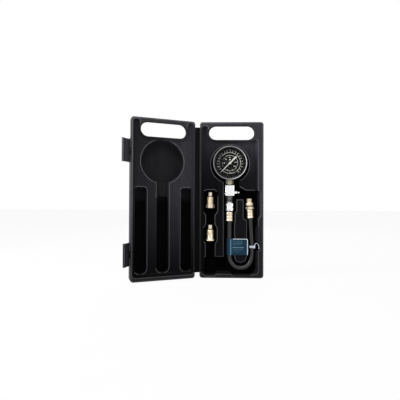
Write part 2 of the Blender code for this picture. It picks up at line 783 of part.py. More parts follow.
def add_knuckle(lid, frame, z):
    """The moulded eye on the lid's free side that a latch pin passes through."""
    x = latch_axis_x()
    half = LATCH_KNUCKLE / 2
    join(lid, rod(LATCH_BARREL, -half, half), frame, (x, LATCH_BEHIND_RIM, z))
    web = box((x, LATCH_BEHIND_RIM - 1.4, z - half), (-CASE_WIDTH + 1.5, LATCH_BEHIND_RIM + 1.4, z + half))
    join(lid, web, frame)
    cut(lid, rod(LATCH_PIN_RADIUS + FIT, -half - 1, half + 1, SMALL_STEPS), frame, (x, LATCH_BEHIND_RIM, z))


def make_hinge_strap(axis, plastic):
    """The hinge strap, thin at both ends where it bends, with a ridge along its middle."""
    low = (CASE_HEIGHT - STRAP_HEIGHT) / 2
    edge = GAP / 2
    thin = HINGE_LIP_THICK / 2
    thick = STRAP_THICK / 2
    half = STRAP_WIDTH / 2
    section = [
        (-HINGE_TAPER, thin), (-edge, HINGE_EDGE), (-edge, -HINGE_EDGE), (-HINGE_TAPER, -thin),
        (-1.1, -thin), (-1.5, -thick), (-half + 1.0, -thick),
        (-half + 0.6, -thick - STRAP_RIDGE), (-half - 0.6, -thick - STRAP_RIDGE), (-half - 1.0, -thick),
        (-STRAP_WIDTH + 1.5, -thick), (-STRAP_WIDTH + 1.1, -thin), (-STRAP_WIDTH + HINGE_TAPER, -thin),
        (-STRAP_WIDTH + edge, -HINGE_EDGE), (-STRAP_WIDTH + edge, HINGE_EDGE),
        (-STRAP_WIDTH + HINGE_TAPER, thin),
        (-STRAP_WIDTH + 1.1, thin), (-STRAP_WIDTH + 1.5, thick),
        (-1.5, thick), (-1.1, thin),
    ]
    form = loft([[(x, y, z) for x, y in section] for z in (low, low + STRAP_HEIGHT)])
    return add_object("hinge_strap", form, plastic, axis)


def make_latch(name, lid_frame, z, swing, plastic, steel):
    """One snap latch: two eyes on a pin, a ribbed leaf and a hook along its tip."""
    place = (latch_axis_x(), LATCH_BEHIND_RIM, z)
    axis = empty(f"{name}_axis", place, (0, 0, math.radians(swing)), lid_frame)
    half = LATCH_LENGTH / 2
    inner = LATCH_BARREL - LATCH_THICK
    leaf = [
        (-LATCH_BARREL * 0.7, LATCH_BARREL), (-LATCH_REACH + 3.2, LATCH_BARREL),
        (-LATCH_REACH + 2.6, LATCH_BARREL + LATCH_HOOK), (-LATCH_REACH + 1.2, LATCH_BARREL + LATCH_HOOK),
        (-LATCH_REACH + 0.4, LATCH_BARREL), (-LATCH_REACH, inner + 0.6), (-LATCH_REACH + 0.6, inner),
        (-LATCH_REACH + 4.6, inner), (-LATCH_REACH + 5.0, inner - 0.8), (-LATCH_REACH + 6.0, inner - 0.8),
        (-LATCH_REACH + 6.4, inner), (-LATCH_REACH + 8.6, inner), (-LATCH_REACH + 9.0, inner - 0.8),
        (-LATCH_REACH + 10.0, inner - 0.8), (-LATCH_REACH + 10.4, inner), (-LATCH_BARREL * 0.7, inner),
    ]
    form = loft([[(x, -y, level) for x, y in leaf] for level in (-half, half)])
    latch = add_object(name, form, plastic, axis)
    eye = LATCH_KNUCKLE / 2 + GAP
    for low, high in ((-half, -eye), (eye, half)):
        join(latch, rod(LATCH_BARREL, low, high), axis)
    room = box((-LATCH_BARREL - GAP, -LATCH_BARREL - 1, -eye), (LATCH_BARREL + 1, LATCH_BARREL + 1, eye))
    cut(latch, room, axis)
    cut(latch, rod(LATCH_PIN_RADIUS + FIT, -half - 1, half + 1, SMALL_STEPS), axis)
    pin_name = name.replace("latch", "latch_pin")
    pin = rod(LATCH_PIN_RADIUS, -half + 0.4, half - 0.4, SMALL_STEPS)
    add_object(pin_name, pin, steel, lid_frame, place)


def make_gauge_case(frame, finish):
    """The deep cup that carries the movement, with the socket's hole and two screw bosses."""
    radius = GAUGE_CASE_RADIUS
    wall = GAUGE_CASE_WALL
    back = GAUGE_BACK
    profile = [
        (0, back), (radius - 2.4, back), (radius - 0.8, back - 0.8), (radius, back - 2.4),
        (radius, CASE_FRONT), (radius - wall, CASE_FRONT), (radius - wall, back - wall - 1.0),
        (radius - wall - 1.0, back - wall), (0, back - wall),
    ]
    case = add_object("gauge_case", turned(profile, LARGE_STEPS, "Y"), finish, frame, (GAUGE_X, 0, GAUGE_Z))
    cut(case, rod(SOCKET_COLUMN + GAP, -6, 6, ROUND_STEPS), frame, (STEM_X, AXIS_DEPTH, SOCKET_TOP + 0.8))
    for side in (-1, 1):
        x = STEM_X + side * SCREW_SPREAD
        join(case, rod(SCREW_BOSS, SOCKET_BACK + GAP, back - 0.9, SMALL_STEPS, "Y"), frame, (x, 0, SCREW_Z))
        seat = back - 1.2
        well = [
            (0, SOCKET_BACK - 1), (SCREW_RADIUS + GAP, SOCKET_BACK - 1), (SCREW_RADIUS + GAP, seat),
            (SCREW_HEAD + GAP, seat), (SCREW_HEAD + GAP, back + 1), (0, back + 1),
        ]
        cut(case, turned(well, SMALL_STEPS, "Y"), frame, (x, 0, SCREW_Z))
    return case


def make_gauge_front(frame, chrome, glass, rubber):
    """Bezel ring, lens and the gasket behind the lens."""
    skirt = BEZEL_RADIUS - 0.9
    window = BEZEL_WINDOW
    front = GAUGE_FRONT
    shoulder = LENS_FRONT - FIT
    profile = [
        (window, shoulder), (window, front + 0.9), (window + 1.2, front + 0.4), (BEZEL_RADIUS - 1.6, front),
        (BEZEL_RADIUS - 0.5, front + 0.35), (BEZEL_RADIUS, front + 1.2), (BEZEL_RADIUS, BEZEL_SKIRT),
        (skirt, BEZEL_SKIRT), (skirt, shoulder),
    ]
    place = (GAUGE_X, 0, GAUGE_Z)
    add_object("gauge_bezel", turned(profile, LARGE_STEPS, "Y"), chrome, frame, place)
    add_object("gauge_lens", rod(skirt - GAP, LENS_FRONT, LENS_BACK, LARGE_STEPS, "Y"), glass, frame, place)
    gasket = [
        (skirt - GAP, LENS_BACK + FIT), (skirt - GAP, LENS_BACK + FIT + GASKET_THICK),
        (skirt - 1.8, LENS_BACK + FIT + GASKET_THICK), (skirt - 1.8, LENS_BACK + FIT),
    ]
    add_object("lens_gasket", turned(gasket, LARGE_STEPS, "Y"), rubber, frame, place)


def make_dial(frame, black, steel):
    """The dial, held to the movement's front plate by two screws, with the pointer's arbor through it."""
    radius = BEZEL_WINDOW + 1.0
    back = DIAL_DEPTH + DIAL_THICK
    middle = (GAUGE_X, 0, GAUGE_Z)
    dial = add_object("gauge_dial", rod(radius, DIAL_DEPTH, back, LARGE_STEPS, "Y"), black, frame, middle)
    cut(dial, rod(ARBOR_RADIUS + 0.5, DIAL_DEPTH - 1, back + 1, SMALL_STEPS, "Y"), frame, middle)
    for side, name in ((-1, "dial_screw_left"), (1, "dial_screw_right")):
        place = (GAUGE_X + side * DIAL_SCREW_SPREAD, 0, GAUGE_Z - DIAL_SCREW_DROP)
        cut(dial, rod(0.9 + FIT, DIAL_DEPTH - 1, back + 1, FINE_STEPS, "Y"), frame, place)
        top = DIAL_DEPTH - FIT
        profile = [
            (0, top - 0.7), (1.3, top - 0.6), (1.5, top), (0.9, top), (0.9, top + 4.0), (0, top + 4.0),
        ]
        add_object(name, turned(profile, FINE_STEPS, "Y"), steel, frame, place)


def make_pointer(frame, white):
    """The pointer: a long thin blade towards zero, a hub and a broad tail."""
    outline = [
        (0.35, POINTER_LENGTH), (0.95, POINTER_HUB), (1.1, 0.0), (1.25, -POINTER_HUB),
        (1.9, -POINTER_TAIL + 1.0), (1.3, -POINTER_TAIL), (-1.3, -POINTER_TAIL),
        (-1.9, -POINTER_TAIL + 1.0), (-1.25, -POINTER_HUB), (-1.1, 0.0), (-0.95, POINTER_HUB),
        (-0.35, POINTER_LENGTH),
    ]
    front = POINTER_DEPTH
    back = POINTER_DEPTH + POINTER_THICK
    axis = empty("pointer_axis", (GAUGE_X, 0, GAUGE_Z), (0, POINTER_REST, 0), frame)
    pointer = add_object("gauge_pointer", plate(outline, front, back), white, axis)
    join(pointer, rod(POINTER_HUB, front - 0.4, back + 0.3, ROUND_STEPS, "Y"), axis)
    cut(pointer, rod(ARBOR_RADIUS + 0.1, front - 2, back + 2, SMALL_STEPS, "Y"), axis)
    return axis


def tooth_row(teeth, count, first_angle, step_sign=1):
    """Gear teeth as (radius, angle) points: root, flank and tip of each tooth in turn."""
    pitch = math.tau / teeth
    radius = GEAR_MODULE * teeth / 2
    tip = radius + 0.75 * GEAR_MODULE
    root = radius - 1.05 * GEAR_MODULE
    flank = ((-0.36, root), (-0.19, radius), (-0.1, tip), (0.1, tip), (0.19, radius), (0.36, root))
    points = []
    for i in range(count):
        middle = first_angle + step_sign * i * pitch
        for part, level in flank:
            points.append((level, middle + step_sign * part * pitch))
    return points


def polar(points, x=0.0, z=0.0):
    return [(x + radius * math.cos(angle), z + radius * math.sin(angle)) for radius, angle in points]


def make_pinion(axis, brass):
    """The pointer's arbor, with its pinion and the hairspring's collet, as one turned and cut piece."""
    mesh_angle = math.radians(SECTOR_SIDE)
    teeth = polar(tooth_row(PINION_TEETH, PINION_TEETH, mesh_angle + math.pi / PINION_TEETH + POINTER_REST))
    front = SECTOR_DEPTH - 0.8
    back = SECTOR_DEPTH + SECTOR_THICK + 0.8
    pinion = add_object("pinion_arbor", plate(teeth, front, back), brass, axis)
    arbor = [
        (0, POINTER_DEPTH - 0.3), (ARBOR_RADIUS, POINTER_DEPTH - 0.3), (ARBOR_RADIUS, HAIRSPRING_DEPTH),
        (ARBOR_RADIUS + 0.5, HAIRSPRING_DEPTH), (ARBOR_RADIUS + 0.5, HAIRSPRING_DEPTH + 1.0),
        (ARBOR_RADIUS, HAIRSPRING_DEPTH + 1.0), (ARBOR_RADIUS, BACK_PLATE_DEPTH + PLATE_THICK - 0.1),
        (0, BACK_PLATE_DEPTH + PLATE_THICK - 0.1),
    ]
    join(pinion, turned(arbor, SMALL_STEPS, "Y"), axis)


def sector_rest():
    """The sector's middle angle at rest, where the first of its teeth meets the pinion."""
    return math.radians(SECTOR_SIDE + 180.0)


def make_sector(frame, brass):
    """The toothed sector with its hub, arbor and the tail that the link pulls."""
    place = (GAUGE_X + SECTOR_PIVOT[0], 0, GAUGE_Z + SECTOR_PIVOT[1])
    pivot = empty("sector_axis", place, (0, 0, 0), frame)
    pitch = math.tau / SECTOR_TEETH
    start = sector_rest() + 2 * pitch
    teeth = tooth_row(SECTOR_TEETH, SECTOR_ARC_TEETH, start, -1)
    end = teeth[-1][1]
    tail = math.radians(TAIL_SIDE)
    outline = polar(
        teeth
        + [(3.0, end - 0.6), (TAIL_LENGTH, tail + 0.24), (TAIL_LENGTH + 1.7, tail + 0.1),
           (TAIL_LENGTH + 1.7, tail - 0.1), (TAIL_LENGTH, tail - 0.24), (3.0, tail - 1.2), (3.0, start + 1.2)]
    )
    back = SECTOR_DEPTH + SECTOR_THICK
    sector = add_object("sector_gear", plate(outline, SECTOR_DEPTH, back), brass, pivot)
    join(sector, rod(2.4, SECTOR_DEPTH - 1.5, back + 2.6, SMALL_STEPS, "Y"), pivot)
    join(sector, rod(1.0, FRONT_PLATE_DEPTH + 0.1, BACK_PLATE_DEPTH + 0.9, FINE_STEPS, "Y"), pivot)
    eye = (TAIL_LENGTH * math.cos(tail), 0, TAIL_LENGTH * math.sin(tail))
    join(sector, rod(0.7, SECTOR_DEPTH - 1.5, SECTOR_DEPTH + 0.6, FINE_STEPS, "Y"), pivot, eye)
    middle = (start + end) / 2
    window = polar([
        (11.4, middle + 0.3), (11.4, middle), (11.4, middle - 0.3), (5.6, middle - 0.22), (5.6, middle + 0.22),
    ])
    cut(sector, plate(window, SECTOR_DEPTH - 1, back + 1), pivot)
    return pivot


def make_link(pivot, brass):
    """The link from the sector's tail up to the tube's end, slotted where the end block's pin runs."""
    tail = math.radians(TAIL_SIDE)
    place = (TAIL_LENGTH * math.cos(tail), 0, TAIL_LENGTH * math.sin(tail))
    axis = empty("link_axis", place, (0, 0, 0), pivot)
    front = SECTOR_DEPTH - 1.1
    back = SECTOR_DEPTH - GAP
    far = LINK_LENGTH + 1.9
    outline = rounded([(-1.9, -1.9, 1.8), (1.9, -1.9, 1.8), (1.9, far, 1.8), (-1.9, far, 1.8)])
    link = add_object("movement_link", plate(outline, front, back), brass, axis)
    cut(link, rod(0.7 + FIT, front - 1, back + 1, FINE_STEPS, "Y"), axis)
    slot = rounded([
        (-1.2, LINK_LENGTH - 6.2, 1.1), (1.2, LINK_LENGTH - 6.2, 1.1),
        (1.2, LINK_LENGTH + 1.0, 1.1), (-1.2, LINK_LENGTH + 1.0, 1.1),
    ])
    cut(link, plate(slot, front - 1, back + 1), axis)


def make_movement_frame(frame, brass, steel):
    """Two plates and the pillars between them, and the hairspring on its stud."""
    x_low, x_high = GAUGE_X - HAIRSPRING_OUTER - 3.4, GAUGE_X + SECTOR_PIVOT[0] + 5.6
    z_low, z_high = SOCKET_BLOCK_TOP + GAP, GAUGE_Z + 6.4
    outline = rounded([(x_low, z_low, 2.0), (x_high, z_low, 2.0), (x_high, z_high, 2.0), (x_low, z_high, 2.0)])
    pivot = (GAUGE_X + SECTOR_PIVOT[0], 0, GAUGE_Z + SECTOR_PIVOT[1])
    centre = (GAUGE_X, 0, GAUGE_Z)
    pillars = ((x_low + 2.6, z_low + 2.6), (x_high - 2.0, z_high - 2.2))
    for name, front in (("movement_front_plate", FRONT_PLATE_DEPTH), ("movement_back_plate", BACK_PLATE_DEPTH)):
        back = front + PLATE_THICK
        piece = add_object(name, plate(outline, front, back), brass, frame)
        if front == FRONT_PLATE_DEPTH:
            for side in (-1, 1):
                place = (GAUGE_X + side * DIAL_SCREW_SPREAD, 0, GAUGE_Z - DIAL_SCREW_DROP)
                join(piece, rod(2.0, DIAL_DEPTH + DIAL_THICK + GAP, back, FINE_STEPS, "Y"), frame, place)
                cut(piece, rod(0.9 + FIT, DIAL_DEPTH, back + 1, FINE_STEPS, "Y"), frame, place)
        else:
            stud = (GAUGE_X - HAIRSPRING_OUTER - 1.1, 0, GAUGE_Z)
            join(piece, rod(0.8, HAIRSPRING_DEPTH - 0.2, back, FINE_STEPS, "Y"), frame, stud)
        cut(piece, rod(ARBOR_RADIUS + FIT, front - 1, back + 1, SMALL_STEPS, "Y"), frame, centre)
        cut(piece, rod(1.0 + FIT, front - 1, back + 1, FINE_STEPS, "Y"), frame, pivot)
    for name, place in zip(("movement_pillar_left", "movement_pillar_right"), pillars):
        low = FRONT_PLATE_DEPTH + PLATE_THICK + FIT
        high = BACK_PLATE_DEPTH - FIT
        add_object(name, rod(1.5, low, high, FINE_STEPS, "Y"), steel, frame, (place[0], 0, place[1]))
    add_object("hairspring", hairspring(), steel, frame, centre)


def hairspring():
    """A flat spiral strip from the arbor's collet out to the stud on the back plate."""
    inner = ARBOR_RADIUS + 0.5 + GAP + 0.15
    steps = int(HAIRSPRING_TURNS * 10)
    loops = []
    for i in range(steps + 1):
        angle = math.pi * (1 - 2 * HAIRSPRING_TURNS * (1 - i / steps))
        radius = inner + (HAIRSPRING_OUTER - inner) * i / steps
        loop = []
        for reach, depth in ((-0.13, 0.1), (0.13, 0.1), (0.13, 0.9), (-0.13, 0.9)):
            far = radius + reach
            loop.append((far * math.cos(angle), HAIRSPRING_DEPTH + depth, far * math.sin(angle)))
        loops.append(loop)
    return loft(loops)


def make_bourdon_tube(frame, brass):
    """The flattened tube bent round the movement, and the block soldered on its end."""
    steps = 20
    loops = []
    half = TUBE_WIDTH / 2
    thick = TUBE_THICK / 2
    section = [
        (-thick, -half + 1.2), (-thick * 0.5, -half), (thick * 0.5, -half), (thick, -half + 1.2),
        (thick, half - 1.2), (thick * 0.5, half), (-thick * 0.5, half), (-thick, half - 1.2),
    ]
    for i in range(steps + 1):
        angle = math.radians(TUBE_START + (TUBE_END - TUBE_START) * i / steps)
        loops.append([
            ((TUBE_RADIUS + out) * math.cos(angle), AXIS_DEPTH + deep, (TUBE_RADIUS + out) * math.sin(angle))
            for out, deep in section
        ])
    place = (GAUGE_X, 0, GAUGE_Z)
    add_object("bourdon_tube", loft(loops), brass, frame, place)
    near = math.radians(TUBE_END - 0.8)
    far = math.radians(TUBE_END - 12.0)
    pin_x = SECTOR_PIVOT[0] + TAIL_LENGTH * math.cos(math.radians(TAIL_SIDE)) + 0.25
    pin_z = SECTOR_PIVOT[1] + TAIL_LENGTH * math.sin(math.radians(TAIL_SIDE)) + LINK_LENGTH
    inner = math.hypot(pin_x, pin_z) - 1.8
    outline = polar([(inner, near), (inner, far), (TUBE_RADIUS + thick, far), (TUBE_RADIUS + thick, near)])
    form = plate(outline, SECTOR_DEPTH + 0.2, SECTOR_DEPTH + 4.2)
    block = add_object("tube_end_block", form, brass, frame, place)
    pin = rod(0.7, SECTOR_DEPTH - 1.4, SECTOR_DEPTH + 1.0, FINE_STEPS, "Y")
    join(block, pin, frame, (GAUGE_X + pin_x, 0, GAUGE_Z + pin_z))


def make_socket(frame, brass, steel):
    """The gauge's brass socket: hexagon, neck into the valve block, column and tube block inside."""
    hex_bottom = SOCKET_TOP - SOCKET_HEX_HEIGHT
    stem = (STEM_X, AXIS_DEPTH, 0)
    socket = add_object("gauge_socket", hexagon(SOCKET_HEX, hex_bottom, SOCKET_TOP), brass, frame, stem)
    join(socket, rod(SOCKET_NECK, BLOCK_TOP - SOCKET_NECK_REACH, hex_bottom + 1, ROUND_STEPS), frame, stem)
    join(socket, rod(SOCKET_COLUMN, SOCKET_TOP - 1, SOCKET_TOP + 5, ROUND_STEPS), frame, stem)
    block = box(
        (STEM_X - SOCKET_BLOCK, SOCKET_FRONT, SOCKET_TOP + 3.5),
        (STEM_X + SOCKET_BLOCK, SOCKET_BACK, SOCKET_BLOCK_TOP),
    )
    join(socket, block, frame)
    tongue = box(
        (STEM_X - 5.0, BACK_PLATE_DEPTH + PLATE_THICK + GAP, SOCKET_BLOCK_TOP - 1),
        (STEM_X + 5.0, SOCKET_BACK - 0.2, GAUGE_Z - 3.0),
    )
    join(socket, tongue, frame)
    for side, name in ((-1, "case_screw_left"), (1, "case_screw_right")):
        place = (STEM_X + side * SCREW_SPREAD, 0, SCREW_Z)
        hole = rod(SCREW_RADIUS + GAP, SOCKET_BACK - 4.0, SOCKET_BACK + 1, FINE_STEPS, "Y")
        cut(socket, hole, frame, place)
        head = GAUGE_BACK - 0.2
        profile = [
            (0, SOCKET_BACK - 3.5), (SCREW_RADIUS, SOCKET_BACK - 3.5), (SCREW_RADIUS, head - 0.6),
            (SCREW_HEAD, head - 0.6), (SCREW_HEAD, head - 0.2), (SCREW_HEAD - 0.3, head), (0, head),
        ]
        add_object(name, turned(profile, SMALL_STEPS, "Y"), steel, frame, place)


def make_valve_block(frame, chrome):
    """The square block under the gauge, with threads for socket, plug and release valve."""
    half = BLOCK_WIDTH / 2
    corners = [(-half, -half, 2.6), (half, -half, 2.6), (half, half, 2.6), (-half, half, 2.6)]
    levels = ((BLOCK_BOTTOM, -1.0), (BLOCK_BOTTOM + 1.0, 0.0), (BLOCK_TOP - 1.2, 0.0), (BLOCK_TOP, -1.2))
    form = loft([[(x, y, z) for x, y in rounded(corners, grow)] for z, grow in levels])
    stem = (STEM_X, AXIS_DEPTH, 0)
    block = add_object("valve_block", form, chrome, frame, stem)
    neck = rod(SOCKET_NECK + GAP, BLOCK_TOP - SOCKET_NECK_REACH - 0.5, BLOCK_TOP + 1, ROUND_STEPS)
    cut(block, neck, frame, stem)
    spigot = rod(PLUG_SPIGOT + GAP, BLOCK_BOTTOM - 1, BLOCK_BOTTOM + PLUG_SPIGOT_LENGTH + 0.5, ROUND_STEPS)
    cut(block, spigot, frame, stem)
    side = (STEM_X + half, AXIS_DEPTH, BLOCK_TOP - VALVE_BELOW_TOP)
    cut(block, rod(VALVE_SPIGOT + GAP, -6.6, 1, SMALL_STEPS, "X"), frame, side)


def make_release_valve(frame, chrome, steel):
    """The screwed-in valve housing, the button that is pressed inwards and its spring."""
    side = (STEM_X + BLOCK_WIDTH / 2, AXIS_DEPTH, BLOCK_TOP - VALVE_BELOW_TOP)
    stem = 1.1
    bore = stem + GAP
    well = BUTTON_RADIUS
    profile = [
        (bore, -5.0), (VALVE_SPIGOT, -5.0), (VALVE_SPIGOT, GAP), (VALVE_RADIUS - 0.4, GAP),
        (VALVE_RADIUS, GAP + 0.4), (VALVE_RADIUS, VALVE_LENGTH - 0.5), (VALVE_RADIUS - 0.5, VALVE_LENGTH),
        (well, VALVE_LENGTH), (well, 2.4), (bore, 2.4),
    ]
    add_object("valve_housing", turned(profile, ROUND_STEPS, "X"), chrome, frame, side)
    head = VALVE_LENGTH + BUTTON_SHOWS
    profile = [
        (0, -4.6), (stem, -4.6), (stem, head), (BUTTON_RADIUS - 0.3, head), (BUTTON_RADIUS, head + 0.3),
        (BUTTON_RADIUS, head + BUTTON_LENGTH - 0.5), (BUTTON_RADIUS - 0.5, head + BUTTON_LENGTH),
        (0, head + BUTTON_LENGTH),
    ]
    add_object("release_button", turned(profile, SMALL_STEPS, "X"), chrome, frame, side)
    wire = 0.22
    spring = helix(stem + 0.75, wire, 2.4 + GAP + wire, head - BUTTON_TRAVEL - GAP - wire, 4, "X")
    add_object("release_spring", spring, steel, frame, side)


def make_coupler(frame, chrome, steel):
    """Quick coupler: the gauge's plug, the body with its balls, and the sliding sleeve on a spring."""
    stem = (STEM_X, AXIS_DEPTH, 0)
    plug = add_object("coupler_plug", hexagon(PLUG_HEX, PLUG_BOTTOM, PLUG_TOP), steel, frame, stem)
    join(plug, rod(PLUG_SPIGOT, PLUG_TOP - 1, BLOCK_BOTTOM + PLUG_SPIGOT_LENGTH, ROUND_STEPS), frame, stem)
    nose_end = PLUG_BOTTOM - PLUG_NOSE_LENGTH
    waist = PLUG_NOSE_RADIUS - 0.7
    nose = [
        (0, PLUG_BOTTOM + 1), (PLUG_NOSE_RADIUS, PLUG_BOTTOM + 1), (PLUG_NOSE_RADIUS, BALL_Z + 2.0),
        (waist, BALL_Z + 1.3), (waist, BALL_Z - 1.3), (PLUG_NOSE_RADIUS, BALL_Z - 2.0), (PLUG_NOSE_RADIUS, nose_end + 0.8),
        (PLUG_NOSE_RADIUS - 0.8, nose_end), (0, nose_end),
    ]
    join(plug, turned(nose, ROUND_STEPS), frame, stem)
    low = COUPLER_BOTTOM
    barb = 3.0
    body = [
        (0, low + 4.0), (PLUG_NOSE_RADIUS + GAP, low + 4.0), (PLUG_NOSE_RADIUS + GAP, COUPLER_TOP),
        (COUPLER_RADIUS - 0.5, COUPLER_TOP), (COUPLER_RADIUS, COUPLER_TOP - 0.5), (COUPLER_RADIUS, low + 1.0),
        (SLEEVE_BORE - GAP, low + 1.0), (SLEEVE_BORE - GAP, low - 0.8), (barb, low - 0.8),
        (barb, FERRULE_TOP - FERRULE_CAP + 0.2), (0, FERRULE_TOP - FERRULE_CAP + 0.2),
    ]
    piece = add_object("coupler_body", turned(body, ROUND_STEPS), steel, frame, stem)
    for i in range(BALL_COUNT):
        angle = math.tau * (i + 0.5) / BALL_COUNT
        reach = PLUG_NOSE_RADIUS + 0.8
        hole = rod(BALL_RADIUS + GAP, reach - 1.6, reach + 3.0, FINE_STEPS, "X")
        cut(piece, hole, frame, (STEM_X, AXIS_DEPTH, BALL_Z), (0, 0, angle))
        ball = bmesh.new()
        bmesh.ops.create_icosphere(ball, subdivisions=2, radius=BALL_RADIUS)
        place = (STEM_X + reach * math.cos(angle), AXIS_DEPTH + reach * math.sin(angle), BALL_Z)
        add_object(f"coupler_ball_{i + 1}", ball, steel, frame, place)
    bore = COUPLER_RADIUS + GAP
    radius = SLEEVE_RADIUS
    top = SLEEVE_LENGTH
    ring = [
        (SLEEVE_BORE, 0.0), (radius - 0.5, 0.0), (radius, 0.5), (radius, 6.3), (radius - 0.9, 6.9),
        (radius - 0.9, 8.1), (radius, 8.7), (radius, top - 2.0), (bore + 0.7, top), (bore, top),
        (bore, SPRING_TOP + GAP), (SLEEVE_BORE, SPRING_TOP + GAP),
    ]
    axis = empty("sleeve_axis", (STEM_X, AXIS_DEPTH, SLEEVE_BOTTOM), (0, 0, 0), frame)
    add_object("coupler_sleeve", turned(ring, ROUND_STEPS), chrome, axis)
    wire = 0.42
    coil = (COUPLER_RADIUS + SLEEVE_BORE) / 2
    spring = helix(coil, wire, 1.0 + GAP + wire, SPRING_TOP - wire, 3, steps=12)
    add_object("sleeve_spring", spring, steel, frame, (STEM_X, AXIS_DEPTH, SLEEVE_BOTTOM))


def ferrule_ring(radius, length, top_hole):
    """A crimped ferrule as a turned ring, from its mouth at zero up to its closed shoulder."""
    bore = HOSE_RADIUS + GAP
    return [
        (bore, 0.0), (radius - 0.1, 0.0), (radius + 0.3, 0.5), (radius, 1.6), (radius, length - 2.4),
        (radius - 0.6, length - 0.8), (radius - 1.5, length), (top_hole, length),
        (top_hole, length - FERRULE_CAP), (bore, length - FERRULE_CAP),
    ]


def make_hose_assembly(frame, fitting, brass, steel, rubber, hose_rubber):
    """Ferrules, hose and the engine fitting with its seal and check-valve pin."""
    ferrule = turned(ferrule_ring(FERRULE_RADIUS, FERRULE_LENGTH, 3.0 + GAP), ROUND_STEPS)
    place = (STEM_X, AXIS_DEPTH, FERRULE_TOP - FERRULE_LENGTH)
    add_object("hose_ferrule_gauge_end", ferrule, brass, frame, place)
    add_hose(frame, hose_rubber)
    ferrule = turned(ferrule_ring(FITTING_FERRULE_RADIUS, FITTING_FERRULE_LENGTH, 3.0 + GAP), ROUND_STEPS)
    add_object("hose_ferrule_engine_end", ferrule, brass, fitting, (0, 0, -GAP - FITTING_FERRULE_LENGTH))
    piece = add_object("engine_fitting", hexagon(FITTING_HEX, 0.0, 5.0), brass, fitting)
    waist = FITTING_THREAD - 2.0
    neck = FITTING_TIP - 0.9
    thread = FITTING_THREAD
    tip = FITTING_TIP
    body = [
        (0, -FERRULE_CAP), (3.0, -FERRULE_CAP), (3.0, 1.0), (waist, 1.0), (waist, 7.0), (thread - 0.6, 7.0),
        (thread, 7.6), (thread, 12.4), (thread - 0.6, 13.0), (neck, 13.0), (neck, 15.0), (tip, 15.0),
        (tip, 20.4), (tip - 1.0, 21.4), (CHECK_BORE, 21.4), (CHECK_BORE, 8.0), (0, 8.0),
    ]
    join(piece, turned(body, ROUND_STEPS), fitting)
    add_object("fitting_o_ring", torus(waist + GAP + 0.75, 0.75), rubber, fitting, (0, 0, 6.0))
    pin = [(0, 9.6), (0.9, 9.6), (0.9, 19.6), (1.35, 19.6), (1.35, 20.6), (0.9, 21.0), (0, 21.0)]
    add_object("check_valve_pin", turned(pin, SMALL_STEPS), steel, fitting)


def hose_route():
    return [(STEM_X + share * (FITTING_X - STEM_X), z) for share, z in HOSE_ROUTE]


def add_hose(frame, finish):
    """The hose as a round tube along a smooth curve through its route."""
    points = []
    knots = hose_route()
    route = [knots[0], *knots, knots[-1]]
    for before, start, end, after in zip(route, route[1:], route[2:], route[3:]):
        for t in (0.0, 0.5):
            spot = []
            for p, q, r, s in zip(before, start, end, after):
                bend = (2 * p - 5 * q + 4 * r - s) * t * t + (3 * q - p - 3 * r + s) * t ** 3
                spot.append(0.5 * (2 * q + (r - p) * t + bend))
            points.append(spot)
    points.append(knots[-1])
    curve = bpy.data.curves.new("hose", "CURVE")
    curve.dimensions = "3D"
    curve.bevel_depth = HOSE_RADIUS * MM
    curve.bevel_resolution = 3
    curve.use_fill_caps = True
    line = curve.splines.new("POLY")
    line.points.add(len(points) - 1)
    for spot, (x, z) in zip(line.points, points):
        spot.co = (x * MM, AXIS_DEPTH * MM, z * MM, 1.0)
    curve.materials.append(finish)
    hose = bpy.data.objects.new("hose", curve)
    hose.parent = frame
    bpy.context.collection.objects.link(hose)


